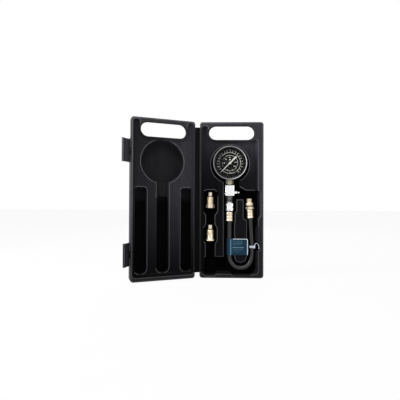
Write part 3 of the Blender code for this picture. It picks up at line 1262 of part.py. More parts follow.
def make_adaptors(frame, brass, rubber):
    """The two screw-in adaptors, each with a seal in the groove under its tip."""
    long_top = LONG_FLANGE_HEIGHT + LONG_BODY_HEIGHT
    tip = LONG_TIP_RADIUS
    body = LONG_BODY_RADIUS
    place = (ADAPTOR_X, LONG_ADAPTOR_DEPTH, LONG_ADAPTOR_Z)
    flange = hexagon(ADAPTOR_FLANGE * math.sqrt(3), 0.0, LONG_FLANGE_HEIGHT, 0.9)
    first = add_object("adaptor_long", flange, brass, frame, place)
    core = tip - 0.8
    profile = adaptor_profile(LONG_FLANGE_HEIGHT - 1.0, body, long_top, core, tip, LONG_TIP_HEIGHT)
    join(first, turned(profile, ROUND_STEPS), frame, place)
    end = long_top + GROOVE_HEIGHT + LONG_TIP_HEIGHT
    cut(first, rod(ADAPTOR_BORE, -1, end + 1, SMALL_STEPS), frame, place)
    cut(first, rod(ADAPTOR_BORE + 2.2, -1, 12.0, SMALL_STEPS), frame, place)
    seal = (ADAPTOR_X, LONG_ADAPTOR_DEPTH, LONG_ADAPTOR_Z + long_top + GROOVE_HEIGHT / 2)
    add_object("adaptor_long_o_ring", torus(core + FIT + O_RING_THICK, O_RING_THICK), rubber, frame, seal)
    body = SHORT_BODY_RADIUS
    tip = SHORT_TIP_RADIUS
    core = tip - 0.8
    top = SHORT_SKIRT_HEIGHT + SHORT_BODY_HEIGHT
    place = (ADAPTOR_X, ADAPTOR_DEPTH, SHORT_ADAPTOR_Z)
    wide = SHORT_SKIRT_RADIUS
    skirt = [(ADAPTOR_BORE + 2.2, 0), (wide - 0.5, 0), (wide, 0.6), (wide, 2.0)]
    end = top + GROOVE_HEIGHT + SHORT_TIP_HEIGHT
    profile = skirt + adaptor_profile(SHORT_SKIRT_HEIGHT, body, top, core, tip, SHORT_TIP_HEIGHT)[1:-1] + [
        (ADAPTOR_BORE, end), (ADAPTOR_BORE, 12.0), (ADAPTOR_BORE + 2.2, 12.0),
    ]
    add_object("adaptor_short", turned(profile, ROUND_STEPS), brass, frame, place)
    seal = (ADAPTOR_X, ADAPTOR_DEPTH, SHORT_ADAPTOR_Z + top + GROOVE_HEIGHT / 2)
    add_object("adaptor_short_o_ring", torus(core + FIT + O_RING_THICK, O_RING_THICK), rubber, frame, seal)


def adaptor_profile(bottom, body, top, core, tip, tip_height):
    """The outside of an adaptor above its flange: body, seal groove and tip."""
    seat = top + GROOVE_HEIGHT
    return [
        (0, bottom), (body, bottom), (body, top - 0.7), (body - 0.7, top), (core, top), (core, seat),
        (tip, seat), (tip, seat + tip_height - 0.8), (tip - 0.8, seat + tip_height), (0, seat + tip_height),
    ]


def make_label(frame, paper):
    """A flag label folded round the hose's left leg and stuck to itself."""
    radius = HOSE_RADIUS + GAP + 0.35
    top = LABEL_BOTTOM + LABEL_HEIGHT
    end = STEM_X + LABEL_REACH
    outline = rounded([
        (STEM_X, LABEL_BOTTOM, 0.4), (end, LABEL_BOTTOM, 2.0), (end, top, 3.0), (STEM_X, top, 0.4),
    ])
    front = AXIS_DEPTH - radius
    flag = add_object("hose_label", plate(outline, front, front + LABEL_THICK), paper, frame)
    join(flag, rod(radius, LABEL_BOTTOM, top, ROUND_STEPS), frame, (STEM_X, AXIS_DEPTH, 0))
    bore = rod(HOSE_RADIUS + GAP, LABEL_BOTTOM - 1, top + 1, ROUND_STEPS)
    cut(flag, bore, frame, (STEM_X, AXIS_DEPTH, 0))


def make_tie(frame, nylon):
    """A nylon tie round the hose's right leg, with its head in front and its tail bent over."""
    x, z = hose_route()[TIE_POINT]
    centre = (x, AXIS_DEPTH, z)
    inner = HOSE_RADIUS + GAP
    half = TIE_WIDTH / 2
    ring = [(inner, -half), (inner + TIE_THICK, -half), (inner + TIE_THICK, half), (inner, half)]
    tie = add_object("hose_tie", turned(ring, ROUND_STEPS), nylon, frame, centre)
    front = AXIS_DEPTH - inner - TIE_THICK - 1.2
    head = box((x + 0.6, front, z - 2.6), (x + 5.4, AXIS_DEPTH - inner + 0.3, z + 2.6))
    join(tie, head, frame)
    cut(tie, rod(inner, -half - 2, half + 2, ROUND_STEPS), frame, centre)
    path = [(x + beside, z + up) for beside, up in TIE_TAIL]
    back = TRAY_DEPTH - GAP
    width = TIE_THICK / 2
    outer = []
    inner_side = []
    for before, here, after in zip((path[0], *path), path, (*path[1:], path[-1])):
        way = (Vector(after) - Vector(before)).normalized()
        side = Vector((-way.y, way.x)) * width
        outer.append(tuple(Vector(here) + side))
        inner_side.append(tuple(Vector(here) - side))
    join(tie, plate(outer + inner_side[::-1], front + 0.4, back), frame)


def build():
    clear_scene()
    plastic = material("case_plastic", (0.035, 0.035, 0.038), 0.55)
    latch_plastic = material("latch_plastic", (0.05, 0.05, 0.055), 0.45)
    black = material("gauge_black", (0.012, 0.012, 0.013), 0.35)
    bezel = material("bezel_black", (0.02, 0.02, 0.022), 0.25)
    glass = material("lens_clear", (0.9, 0.92, 0.93), 0.05, 0.0, 0.2)
    white = material("pointer_white", (0.8, 0.8, 0.78), 0.4)
    brass = material("movement_brass", (0.72, 0.56, 0.28), 0.3, 1.0)
    nickel = material("warm_nickel", (0.72, 0.66, 0.55), 0.3, 1.0)
    chrome = material("bright_chrome", (0.82, 0.82, 0.83), 0.12, 1.0)
    steel = material("steel", (0.5, 0.5, 0.5), 0.3, 1.0)
    rubber = material("seal_rubber", (0.02, 0.02, 0.02), 0.6)
    hose_rubber = material("hose_rubber", (0.025, 0.025, 0.027), 0.5)
    paper = material("label_film", (0.03, 0.12, 0.18), 0.4)
    nylon = material("tie_nylon", (0.75, 0.78, 0.82), 0.4)

    frame = empty("case_frame", (-CASE_WIDTH / 2, -BASE_DEPTH / 2, 0))
    strap_axis = empty("strap_axis", (-HINGE_LIP, HINGE_BACK, 0), (0, 0, FOLD), frame)
    lid_axis = empty("lid_axis", (-STRAP_WIDTH, 0, 0), (0, 0, FOLD), strap_axis)
    lid_frame = empty("lid_frame", (-HINGE_LIP, -HINGE_BACK, 0), (0, 0, 0), lid_axis)
    place = (FITTING_X, AXIS_DEPTH, FITTING_Z)
    fitting = empty("fitting_axis", place, (0, math.radians(-FITTING_LEAN), 0), frame)

    make_case_base(frame, plastic)
    make_hinge_strap(strap_axis, plastic)
    make_case_lid(lid_frame, plastic)
    make_latch("latch_upper", lid_frame, LATCH_UPPER_Z, LATCH_UPPER_OPEN, latch_plastic, steel)
    make_latch("latch_lower", lid_frame, LATCH_LOWER_Z, LATCH_LOWER_OPEN, latch_plastic, steel)
    make_gauge_case(frame, black)
    make_gauge_front(frame, bezel, glass, rubber)
    make_dial(frame, black, steel)
    pointer_axis = make_pointer(frame, white)
    make_pinion(pointer_axis, brass)
    make_link(make_sector(frame, brass), brass)
    make_movement_frame(frame, brass, steel)
    make_bourdon_tube(frame, brass)
    make_socket(frame, nickel, steel)
    make_valve_block(frame, chrome)
    make_release_valve(frame, chrome, steel)
    make_coupler(frame, chrome, steel)
    make_hose_assembly(frame, fitting, nickel, steel, rubber, hose_rubber)
    make_adaptors(frame, nickel, rubber)
    make_label(frame, paper)
    make_tie(frame, nylon)


build()
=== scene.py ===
"""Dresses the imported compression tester: moulded case, gauge, stem, hose, adaptors, label and tie.

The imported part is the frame. Its shapes stay, or a finer piece made here takes their place.
Sizes here are in millimetres, and become metres where a shape is made.
"""
import math
from typing import NamedTuple

import bpy
from bpy.props import FloatProperty, FloatVectorProperty, PointerProperty
from mathutils import Matrix, Vector


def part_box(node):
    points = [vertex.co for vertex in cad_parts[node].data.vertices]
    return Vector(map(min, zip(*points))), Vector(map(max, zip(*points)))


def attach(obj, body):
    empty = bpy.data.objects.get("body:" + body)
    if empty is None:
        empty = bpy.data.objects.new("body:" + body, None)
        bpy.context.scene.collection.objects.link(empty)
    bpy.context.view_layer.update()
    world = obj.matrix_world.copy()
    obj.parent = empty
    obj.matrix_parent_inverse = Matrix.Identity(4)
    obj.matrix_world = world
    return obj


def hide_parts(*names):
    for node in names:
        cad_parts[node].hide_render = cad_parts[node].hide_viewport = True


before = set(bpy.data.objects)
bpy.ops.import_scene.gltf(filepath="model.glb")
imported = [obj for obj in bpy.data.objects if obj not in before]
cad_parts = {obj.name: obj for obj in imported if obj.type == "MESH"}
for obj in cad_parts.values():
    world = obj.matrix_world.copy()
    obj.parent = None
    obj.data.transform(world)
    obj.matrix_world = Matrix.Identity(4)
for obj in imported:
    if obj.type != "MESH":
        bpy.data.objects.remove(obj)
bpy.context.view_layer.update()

bl_info = {
    "name": "Compression Tester Dressing",
    "version": (1, 0, 0),
    "blender": (4, 5, 0),
    "location": "View3D > Sidebar > Tester",
    "description": "Finishes and fine pieces for a cased compression tester",
    "category": "Object",
}

MM = 0.001

# The camera, fitted to the corners of the case in the photograph
CAMERA_PLACE = (-48.2, -677.2, 147.2)
CAMERA_YAW = 1.267
CAMERA_PITCH = 0.674
CAMERA_ROLL = -0.214
CAMERA_LENS = 29.86

# How far the floor shows as plain white, with the rest left to its shadows
FLOOR_GLOW = 0.94
FLOOR_SIZE = 14.0
FLOOR_LEVEL = -0.0004
SOFT_LIGHT = 0.3

# Each lamp: place and size in metres, and its share of the power
LAMPS = (
    ("key_lamp", (-0.15, -0.55, 0.85), (0.35, 0.35), 0.36),
    ("strip_lamp", (-1.0, -0.34, 0.6), (0.16, 0.7), 1.0),
    ("fill_lamp", (1.1, -0.7, 0.5), (0.2, 0.9), 0.3),
    ("back_lamp", (0.2, 1.1, 0.9), (0.8, 0.8), 0.7),
)
LAMP_TARGET = (-0.05, 0.0, 0.15)

# The hose's route in x and z, as in the part's source, and where its x starts
HOSE_ROUTE = (
    (60.0, 129.6), (60.0, 110.0), (60.0, 84.0), (60.0, 60.0), (60.0, 43.5), (62.6, 31.8),
    (69.2, 23.4), (77.6, 19.6), (86.4, 19.5), (95.2, 23.0), (101.8, 31.0), (105.0, 43.5),
    (105.3, 62.0), (104.2, 82.0), (103.0, 101.5), (101.92, 119.5), (101.05, 133.8),
)
CASE_EDGE_X = -63.5

# The engine fitting: how far it leans, the foot of its hexagon in x and z, and its flats
SPANNER_LEAN = 3.5
FITTING_FOOT = (100.86, 136.9)
FITTING_FLATS = 14.8

# The wide bore at the foot of both adaptors
ADAPTOR_BORE = 4.8

# The trays' depth behind the rim, and how wide and how far down their edges are rolled
TRAY_LEVEL = 5.0
EDGE_ROLL = 0.9
EDGE_DROP = 0.45

# Faces count as flat and at a depth within these limits
LEVEL_REACH = 0.25
FLAT_LIMIT = 0.97

# Depth behind the rim where the pockets' painted shade starts and where it is full, its share, and its
# near-black colour
POCKET_START = 4.5
POCKET_FULL = 13.0
POCKET_SHADE = 0.97
PAINTED_SHADE_COLOUR = (0.0008, 0.0008, 0.0009)

# How far from a half's far side its painted shade starts, and its share at the near side
SIDE_SHADE_START = 15.0
SIDE_SHADE_SHARE = 0.55

# The inner finish starts this far behind the rim
INNER_START = 0.4

# Heights between which the gauge's hollow meets the channels below it, where the painted pocket shade changes
# to the hollow's own share
HOLLOW_HEIGHTS = (148.0, 166.0)

# Heights inside the rims, and the heights between which the plastic's painted shade lifts and it grows lighter
INSIDE_HEIGHTS = (7.0, 307.5)
OUTER_LIGHT = (10.0, 290.0)
INNER_LIGHT = (10.0, 185.0)

# Painted shade: how much of its colour the case's outer side keeps at its foot
CASE_FOOT = 0.1

# How far the strap's webs reach into the case, and how far the spring keeps off the pulled sleeve
WEB_REACH = 0.45
SLEEVE_TRAVEL = 3.3

# The label's bars: distance from its top, height, length and strength
LABEL_BARS = (
    (5.0, 1.3, 19.0, 0.34), (9.0, 1.6, 20.5, 0.4), (12.6, 1.3, 17.0, 0.3),
    (17.8, 2.2, 22.0, 0.55), (22.0, 1.2, 20.0, 0.3), (26.4, 1.1, 14.0, 0.2),
)

# The dial's angles: where both scales start, and how far each runs
SCALE_START = 225.0
OUTER_SPAN = 270.0
INNER_SPAN = 261.0

# Plain bars on the dial: across and up from its middle, length and height
DIAL_BARS = ((0.0, 6.6, 3.4, 1.6), (-1.4, -18.2, 2.2, 0.5), (1.6, -19.4, 3.6, 0.5))


class Half(NamedTuple):
    """One half of the case: its rim's plane, what lies inside it, and the painted shade of its inside."""

    body: str
    near: tuple
    inward: tuple
    inside: tuple
    hollow: float
    foot: float
    light: tuple

    def depth(self, x, y):
        """How far a place lies behind the rim, in millimetres, for numbers and for fields."""
        return (x - self.near[0]) * self.inward[0] + (y - self.near[1]) * self.inward[1]

    def across(self, x, y):
        """How far a place lies along the rim from the near corner."""
        start = self.near[0] * self.inward[1] - self.near[1] * self.inward[0]
        return x * self.inward[1] - y * self.inward[0] - start


BASE_HALF = Half("base", (0.0, -16.0), (0.0, 1.0), (-61.0, 53.5), 0.0, 0.2, (180.0, 290.0))
LID_HALF = Half(
    "lid", (-72.203, -17.652), (-0.3665, 0.93042), (-123.0, -2.5), 0.4, 0.14, INNER_LIGHT,
)


def linear(red, green, blue):
    """A colour as it is seen on a screen, from 0 to 255, as the shader's own numbers."""
    parts = []
    for value in (red, green, blue):
        part = value / 255
        parts.append(part / 12.92 if part <= 0.04045 else ((part + 0.055) / 1.055) ** 2.4)
    return tuple(parts)


def tint_by(colour, share):
    return tuple(share * part for part in colour)


class Field:
    """A number on its way through a material, which plain Python maths works on."""

    def __init__(self, finish, socket):
        self.finish = finish
        self.socket = socket

    def maths(self, operation, *values):
        return self.finish.node("ShaderNodeMath", {"operation": operation}, dict(enumerate(values)))

    def __add__(self, other):
        return self.maths("ADD", self, other)

    def __radd__(self, other):
        return self.maths("ADD", other, self)

    def __sub__(self, other):
        return self.maths("SUBTRACT", self, other)

    def __rsub__(self, other):
        return self.maths("SUBTRACT", other, self)

    def __mul__(self, other):
        return self.maths("MULTIPLY", self, other)

    def __truediv__(self, other):
        return self.maths("DIVIDE", self, other)

    def __abs__(self):
        return self.maths("ABSOLUTE", self)

    def highest(self, other):
        return self.maths("MAXIMUM", self, other)

    def lowest(self, other):
        return self.maths("MINIMUM", self, other)

    def step(self, low, high, to_low=0.0, to_high=1.0):
        """Rises smoothly from to_low to to_high as the number goes from low to high."""
        return self.finish.node(
            "ShaderNodeMapRange", {"interpolation_type": "SMOOTHSTEP"},
            {0: self, 1: low, 2: high, 3: to_low, 4: to_high},
        )


class Finish:
    """A material under construction, with its Principled shader."""

    def __init__(self, name):
        self.material = bpy.data.materials.new(name)
        self.material.use_nodes = True
        self.tree = self.material.node_tree
        self.tree.nodes.clear()
        self.shader = self.tree.nodes.new("ShaderNodeBsdfPrincipled")
        self.output = self.tree.nodes.new("ShaderNodeOutputMaterial")
        self.tree.links.new(self.shader.outputs[0], self.output.inputs["Surface"])

    def put(self, socket, value):
        if isinstance(value, Field):
            self.tree.links.new(value.socket, socket)
        elif isinstance(value, tuple) and socket.type == "RGBA" and len(value) == 3:
            socket.default_value = (*value, 1.0)
        else:
            socket.default_value = value

    def node(self, kind, traits=None, values=None, out=0):
        """Adds one node: its type, its traits, then the values or links of its sockets."""
        made = self.tree.nodes.new(kind)
        for key, value in (traits or {}).items():
            setattr(made, key, value)
        for key, value in (values or {}).items():
            self.put(made.inputs[key], value)
        return Field(self, made.outputs[out])

    def place(self):
        return self.node("ShaderNodeTexCoord", out="Object")

    def stretched(self, scale):
        """Object coordinates, in millimetres, scaled along each axis."""
        values = {0: self.place(), 1: tint_by(scale, 1.0 / MM)}
        return self.node("ShaderNodeVectorMath", {"operation": "MULTIPLY"}, values)

    def axes(self):
        """Object coordinates, in millimetres, as three numbers."""
        spot = self.stretched((1.0, 1.0, 1.0))
        return [self.node("ShaderNodeSeparateXYZ", None, {0: spot}, out=i) for i in range(3)]

    def noise(self, scale, size=(1.0, 1.0, 1.0), detail=2.0, rough=0.5):
        """Noise with its size in features a millimetre."""
        values = {"Vector": self.stretched(size), "Scale": scale, "Detail": detail, "Roughness": rough}
        return self.node("ShaderNodeTexNoise", None, values)

    def blend(self, factor, first, second):
        """Goes from the first colour to the second as the factor goes from 0 to 1."""
        made = self.tree.nodes.new("ShaderNodeMix")
        made.data_type = "RGBA"
        self.put(made.inputs[0], factor)
        self.put(made.inputs[6], first)
        self.put(made.inputs[7], second)
        return Field(self, made.outputs[2])

    def bump(self, height, depth):
        """Turns a height from 0 to 1 into relief of that depth in millimetres."""
        values = {"Height": height, "Distance": depth * MM}
        self.put(self.shader.inputs["Normal"], self.node("ShaderNodeBump", None, values))

    def seen(self):
        """1 for what the camera sees straight, mirrored or through something, and 0 for other light."""
        kinds = ("Is Camera Ray", "Is Glossy Ray", "Is Transmission Ray")
        camera, glossy, through = (self.node("ShaderNodeLightPath", out=kind) for kind in kinds)
        return (camera + glossy + through).lowest(1.0)

    def mix(self, factor, first, second):
        """Goes from the first shader to the second, and sends the mix out."""
        mixed = self.node("ShaderNodeMixShader", None, {0: factor, 1: first, 2: second})
        self.tree.links.new(mixed.socket, self.output.inputs["Surface"])

    def set(self, **values):
        for key, value in values.items():
            self.put(self.shader.inputs[key.replace("_", " ")], value)


class Backdrop(Finish):
    """The world's light, built in the way that a material is."""

    def __init__(self, name):
        self.world = bpy.data.worlds.new(name)
        self.world.use_nodes = True
        self.tree = self.world.node_tree
        self.tree.nodes.clear()
        self.output = self.tree.nodes.new("ShaderNodeOutputWorld")


def moulded_plastic(name, colour, grain, gloss, shine, foot, light=INNER_LIGHT, half=None):
    """Blow-moulded plastic with grain and flow streaks, and painted shade low down, in pockets and at one
    side.
    """
    finish = Finish(name)
    x, y, z = finish.axes()
    cloud = finish.noise(0.035, (1.0, 1.0, 0.35), 4.0)
    flow = finish.noise(0.25, (1.0, 1.0, 0.08), 3.0)
    shade = cloud * 0.6 + flow * 0.4
    spark = finish.noise(1.9, detail=3.0, rough=0.6)
    high = finish.blend(shade.step(0.3, 0.7), tint_by(colour, 0.8), tint_by(colour, 1.22))
    # Painted shade: darker towards the foot, full colour above the given heights.
    tint = finish.blend(z.step(*light), tint_by(colour, foot), high)
    rough = gloss + cloud * 0.12 + spark * 0.06
    if half:
        low_side, high_side = half.inside
        # Painted shade across the half, deepest at the low end of its inside.
        side_shade = half.across(x, y).step(high_side - SIDE_SHADE_START, low_side, 0.0, SIDE_SHADE_SHARE)
        # Painted shade in the pockets, deepening with depth behind the rim, and less in the gauge's hollow by
        # the half's share.
        below = z.step(*HOLLOW_HEIGHTS, 1.0, 1.0 - half.hollow)
        pocket = half.depth(x, y).step(POCKET_START, POCKET_FULL, 0.0, POCKET_SHADE) * below
        tint = finish.blend(pocket.highest(side_shade), tint, PAINTED_SHADE_COLOUR)
        rough = rough + pocket * 0.2
    finish.set(Base_Color=tint, Roughness=rough, Specular_IOR_Level=shine)
    finish.bump(spark, grain)
    return finish.material


def satin_metal(name, colour, rough, grain_along, tint=0.06, bare=1.0):
    """Plated metal: fine tool marks round it, and slight clouding of the plate."""
    finish = Finish(name)
    marks = finish.noise(3.2, grain_along, 2.0)
    cloud = finish.noise(0.22, detail=3.0)
    finish.set(
        Base_Color=finish.blend(cloud.step(0.35, 0.7), colour, tint_by(colour, 1.0 - 2.2 * tint)),
        Roughness=rough + marks * 0.1 + cloud * 0.05,
        Metallic=bare,
    )
    finish.bump(marks, 0.012)
    return finish.material


def smooth_rubber(name, colour, rough, grain=0.02):
    """Moulded or extruded rubber: soft mottling and a faint skin."""
    finish = Finish(name)
    mottle = finish.noise(0.5, detail=4.0)
    skin = finish.noise(3.0, detail=2.0)
    finish.set(
        Base_Color=finish.blend(mottle.step(0.35, 0.75), colour, tint_by(colour, 1.5)),
        Roughness=rough + mottle * 0.1,
    )
    finish.bump(skin, grain)
    return finish.material


def painted(name, colour, rough, grain=0.015, shine=0.5):
    """Paint on metal: an even coat with a faint orange-peel skin."""
    finish = Finish(name)
    peel = finish.noise(0.9, detail=2.0)
    finish.set(
        Base_Color=finish.blend(peel.step(0.3, 0.7), colour, tint_by(colour, 1.15)),
        Roughness=rough + peel * 0.06,
        Specular_IOR_Level=shine,
    )
    finish.bump(peel, grain)
    return finish.material


def bezel_paint(name, colour, crest, middle, radius, width):
    """Black gloss paint, with a painted pale line where the bezel's crest catches the light."""
    finish = Finish(name)
    x, y, z = finish.axes()
    across = x - middle[0]
    up = z - middle[1]
    reach = finish.node("ShaderNodeMath", {"operation": "SQRT"}, {0: across * across + up * up})
    line = abs(reach - radius).step(width * 0.35, width, 1.0, 0.0)
    # The painted highlight is brighter towards the right and the bottom of the ring.
    sides = (across / radius - up / radius * 0.3).step(-0.2, 0.95, 0.4, 1.0)
    peel = finish.noise(0.8)
    line = line * sides
    finish.set(
        Base_Color=finish.blend(line, colour, crest),
        Roughness=0.22 + line * 0.12 + peel * 0.05,
        Metallic=line * 0.7,
        Specular_IOR_Level=0.2,
    )
    finish.bump(peel, 0.01)
    return finish.material


def clear_lens(name):
    """Clear plastic: almost all of it lets the dial show, and its surface still shines."""
    finish = Finish(name)
    smear = finish.noise(0.12, (1.0, 1.0, 0.5), 4.0)
    finish.set(
        Base_Color=(0.05, 0.055, 0.06),
        Roughness=0.04 + smear * 0.05,
        Alpha=0.04 + smear * 0.03,
        IOR=1.49,
    )
    return finish.material


def label_film(name, colour, pale, low, high, fold):
    """Printed film: dark field, pale border lines at the top and free edge, plain pale bars, and a painted
    highlight down the fold.
    """
    finish = Finish(name)
    x, y, z = finish.axes()
    print_noise = finish.noise(1.2, detail=3.0)
    from_top = high[1] - z
    from_end = high[0] - x
    top_line = abs(from_top - 1.0).step(0.5, 0.9, 1.0, 0.0) * x.step(fold + 4.4, fold + 5.0)
    end_line = abs(from_end - 1.2).step(0.55, 1.0, 1.0, 0.0) * z.step(low[1] + 0.3, low[1] + 1.0)
    # A painted highlight down the fold, where the film wraps round the hose.
    fold_highlight = abs(x - fold).step(0.9, 1.5, 0.62, 0.0) * from_top.step(0.8, 1.6)
    marks = top_line.highest(end_line)
    start = fold + 3.9
    bars_and_highlight = fold_highlight
    for place, height, length, strength in LABEL_BARS:
        row = abs(from_top - place).step(height * 0.3, height * 0.6, strength, 0.0)
        row = row * x.step(start - 0.7, start) * x.step(start + length, start + length + 0.7, 1.0, 0.0)
        bars_and_highlight = bars_and_highlight.highest(row)
    field = finish.blend(print_noise.step(0.3, 0.75), colour, tint_by(colour, 1.5))
    tinted = finish.blend(bars_and_highlight, field, linear(120, 160, 182))
    finish.set(
        Base_Color=finish.blend(marks, tinted, pale),
        Roughness=0.4 + print_noise * 0.08,
        Specular_IOR_Level=0.12,
    )
    finish.bump(finish.noise(0.15, detail=2.0), 0.12)
    return finish.material


def nylon(name, colour):
    """Milky moulded nylon that lets a little light in."""
    finish = Finish(name)
    cloud = finish.noise(0.6, detail=3.0)
    finish.set(
        Base_Color=finish.blend(cloud.step(0.3, 0.7), colour, tint_by(colour, 0.86)),
        Roughness=0.32 + cloud * 0.12,
        Subsurface_Weight=0.15,
        Subsurface_Radius=(0.002, 0.002, 0.002),
    )
    finish.bump(finish.noise(2.4), 0.01)
    return finish.material


def fresh_start():
    if bpy.context.object and bpy.context.object.mode != "OBJECT":
        bpy.ops.object.mode_set(mode="OBJECT")
    bpy.ops.object.select_all(action="DESELECT")


def pick(*objects):
    fresh_start()
    for item in objects:
        item.select_set(True)
    bpy.context.view_layer.objects.active = objects[0]


def start_edit(made):
    """Opens one mesh for editing, with all of it selected."""
    pick(made)
    bpy.ops.object.mode_set(mode="EDIT")
    bpy.ops.mesh.select_all(action="SELECT")


def merge(made, threshold):
    """Merges doubles and points faces out."""
    start_edit(made)
    bpy.ops.mesh.remove_doubles(threshold=threshold)
    bpy.ops.mesh.normals_make_consistent(inside=False)
    bpy.ops.object.mode_set(mode="OBJECT")


def stretch(made, scale, middle):
    """Scales a mesh about a place in millimetres."""
    start_edit(made)
    bpy.ops.transform.resize(value=scale, center_override=middle * MM)
    bpy.ops.object.mode_set(mode="OBJECT")


def apply_place():
    bpy.ops.object.transform_apply(location=True, rotation=True, scale=True)


def settle(made, angle=35.0):
    """Merges doubles, points faces out, applies the object's place and smooths gentle edges."""
    merge(made, 1e-7)
    apply_place()
    bpy.ops.object.shade_smooth_by_angle(angle=math.radians(angle))


def weigh_normals(made, angle):
    """Smooths gentle edges, with the flat faces kept flat."""
    bpy.ops.object.shade_smooth_by_angle(angle=math.radians(angle))
    bpy.ops.object.modifier_add(type="WEIGHTED_NORMAL")
    change = made.modifiers[-1]
    change.keep_sharp = True
    change.weight = 80
    bpy.ops.object.modifier_apply(modifier=change.name)


def cut_by(made, tool, operation="DIFFERENCE"):
    """Cuts a mesh by a tool, which goes afterwards."""
    pick(made)
    bpy.ops.object.modifier_add(type="BOOLEAN")
    change = made.modifiers[-1]
    change.operation = operation
    change.solver = "EXACT"
    change.object = tool
    bpy.ops.object.modifier_apply(modifier=change.name)
    bpy.data.objects.remove(tool, do_unlink=True)


def dress(made, name, body, material, slot, *nodes):
    """Names a finished piece, gives it its finish and body, and hides the nodes it stands for."""
    made.name = name
    made.data.name = name
    if not isinstance(material, tuple):
        material = (material,)
        made.data.materials.clear()
    for item in material:
        made.data.materials.append(item)
    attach(made, body)
    if nodes:
        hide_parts(*nodes)
    return made


def dress_turned(made, body, material, slot, node):
    dress(made, node + "_turned", body, material, slot, node)


def paint(material, *names):
    """Gives CAD nodes that stay their finish."""
    for name in names:
        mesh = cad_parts[name].data
        mesh.materials.clear()
        mesh.materials.append(material)


class Box(NamedTuple):
    """A node's lowest and highest corners, in millimetres."""

    low: Vector
    high: Vector

    @property
    def middle(self):
        return (self.low + self.high) / 2

    @property
    def size(self):
        return self.high - self.low

    def start(self, axis):
        """The middle of the box's low face across one axis."""
        place = self.middle
        number = "XYZ".index(axis)
        place[number] = self.low[number]
        return place


def node_box(name):
    low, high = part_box(name)
    return Box(Vector(low) / MM, Vector(high) / MM)


def copy_node(name):
    """A copy of a CAD node, ready to be merged and finished."""
    pick(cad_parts[name])
    bpy.ops.object.duplicate()
    return bpy.context.object


def skin(node, body, material, slot, angle=50.0):
    """A merged, smooth copy of a CAD node whose shape is right, with flat faces kept flat."""
    made = copy_node(node)
    start_edit(made)
    bpy.ops.mesh.remove_doubles(threshold=2e-6)
    bpy.ops.mesh.dissolve_limited(angle_limit=math.radians(0.5))
    bpy.ops.object.mode_set(mode="OBJECT")
    weigh_normals(made, angle)
    return dress(made, node + "_skin", body, material, slot, node)


def rounded_skin(node, half, materials):
    """A copy of a case half with rolled inner edges, in an outer finish, a pale edge finish painted as a
    highlight, and an inner finish with painted shade.
    """
    made = copy_node(node)
    made.data.materials.clear()
    start_edit(made)
    bpy.ops.mesh.remove_doubles(threshold=4e-5)
    for level in (TRAY_LEVEL, 0.0):
        roll_level(made, half, level)
    bpy.ops.object.mode_set(mode="OBJECT")
    inward = Vector((*half.inward, 0.0))
    for face in made.data.polygons:
        if face.material_index:
            continue
        x, y, z = face.center / MM
        within = half.inside[0] < half.across(x, y) < half.inside[1]
        within = within and INSIDE_HEIGHTS[0] < z < INSIDE_HEIGHTS[1]
        if within and half.depth(x, y) > INNER_START and face.normal.dot(inward) < 0.5:
            face.material_index = 2
    weigh_normals(made, 48)
    return dress(made, node + "_skin", half.body, materials, "case_plastic", node)


def roll_level(made, half, level):
    """Insets the flat faces at one depth, and rolls down the new strip's side towards a pocket."""
    inward = Vector((*half.inward, 0.0))

    def depth_of(face):
        return half.depth(face.center.x / MM, face.center.y / MM) - level

    def lies_flat(face):
        return abs(depth_of(face)) < LEVEL_REACH and face.normal.dot(inward) < -FLAT_LIMIT

    bpy.ops.mesh.select_mode(type="FACE")
    bpy.ops.mesh.select_all(action="DESELECT")
    bpy.ops.object.mode_set(mode="OBJECT")
    for face in made.data.polygons:
        face.select = lies_flat(face)
    bpy.ops.object.mode_set(mode="EDIT")
    bpy.ops.mesh.inset(thickness=EDGE_ROLL * MM, depth=0.0, use_boundary=True, use_even_offset=False)
    bpy.ops.object.mode_set(mode="OBJECT")
    inner = set()
    below = set()
    strips = []
    for face in made.data.polygons:
        if face.select:
            inner.update(face.vertices)
        elif lies_flat(face):
            strips.append(face)
        elif depth_of(face) > LEVEL_REACH:
            below.update(face.vertices)
    outer = set()
    for face in strips:
        rolled = below.intersection(face.vertices) - inner
        if rolled:
            # The strip beside a pocket takes the pale edge finish, a painted highlight.
            face.material_index = 1
            outer.update(rolled)
    for item in (*made.data.polygons, *made.data.edges):
        item.select = False
    for point in made.data.vertices:
        point.select = point.index in outer
    bpy.ops.object.mode_set(mode="EDIT")
    bpy.ops.mesh.select_mode(type="VERT")
    bpy.ops.transform.translate(value=inward * EDGE_DROP * MM)


def turn(profile, place, axis="Z", lean=0.0, steps=96):
    """Turns a profile of (radius, height) points about an axis through a place, all in millimetres.

    A profile that starts at radius zero makes a solid, and any other a ring.
    """
    solid = profile[0][0] == 0
    points = [point for point in profile if point[0] > 0]
    fresh_start()
    radius, height = points[0]
    bpy.ops.mesh.primitive_circle_add(vertices=steps, radius=radius * MM, location=(0, 0, height * MM))
    made = bpy.context.object
    apply_place()
    start_edit(made)
    for (radius, height), (wider, higher) in zip(points, points[1:]):
        up = {"value": (0, 0, (higher - height) * MM)}
        bpy.ops.mesh.extrude_region_move(TRANSFORM_OT_translate=up)
        scale = wider / radius
        bpy.ops.transform.resize(value=(scale, scale, 1.0), center_override=(0, 0, higher * MM))
    bpy.ops.mesh.select_all(action="DESELECT")
    bpy.ops.mesh.select_mode(type="EDGE")
    bpy.ops.mesh.select_non_manifold()
    if solid:
        bpy.ops.mesh.fill_holes(sides=0)
    else:
        bpy.ops.mesh.bridge_edge_loops()
    bpy.ops.object.mode_set(mode="OBJECT")
    if axis == "Y":
        made.rotation_euler = (-math.pi / 2, 0, 0)
    if axis == "X":
        made.rotation_euler = (0, math.pi / 2, 0)
    if lean:
        made.rotation_euler = (0, math.radians(-lean), 0)
    made.location = Vector(place) * MM
    settle(made)
    return made


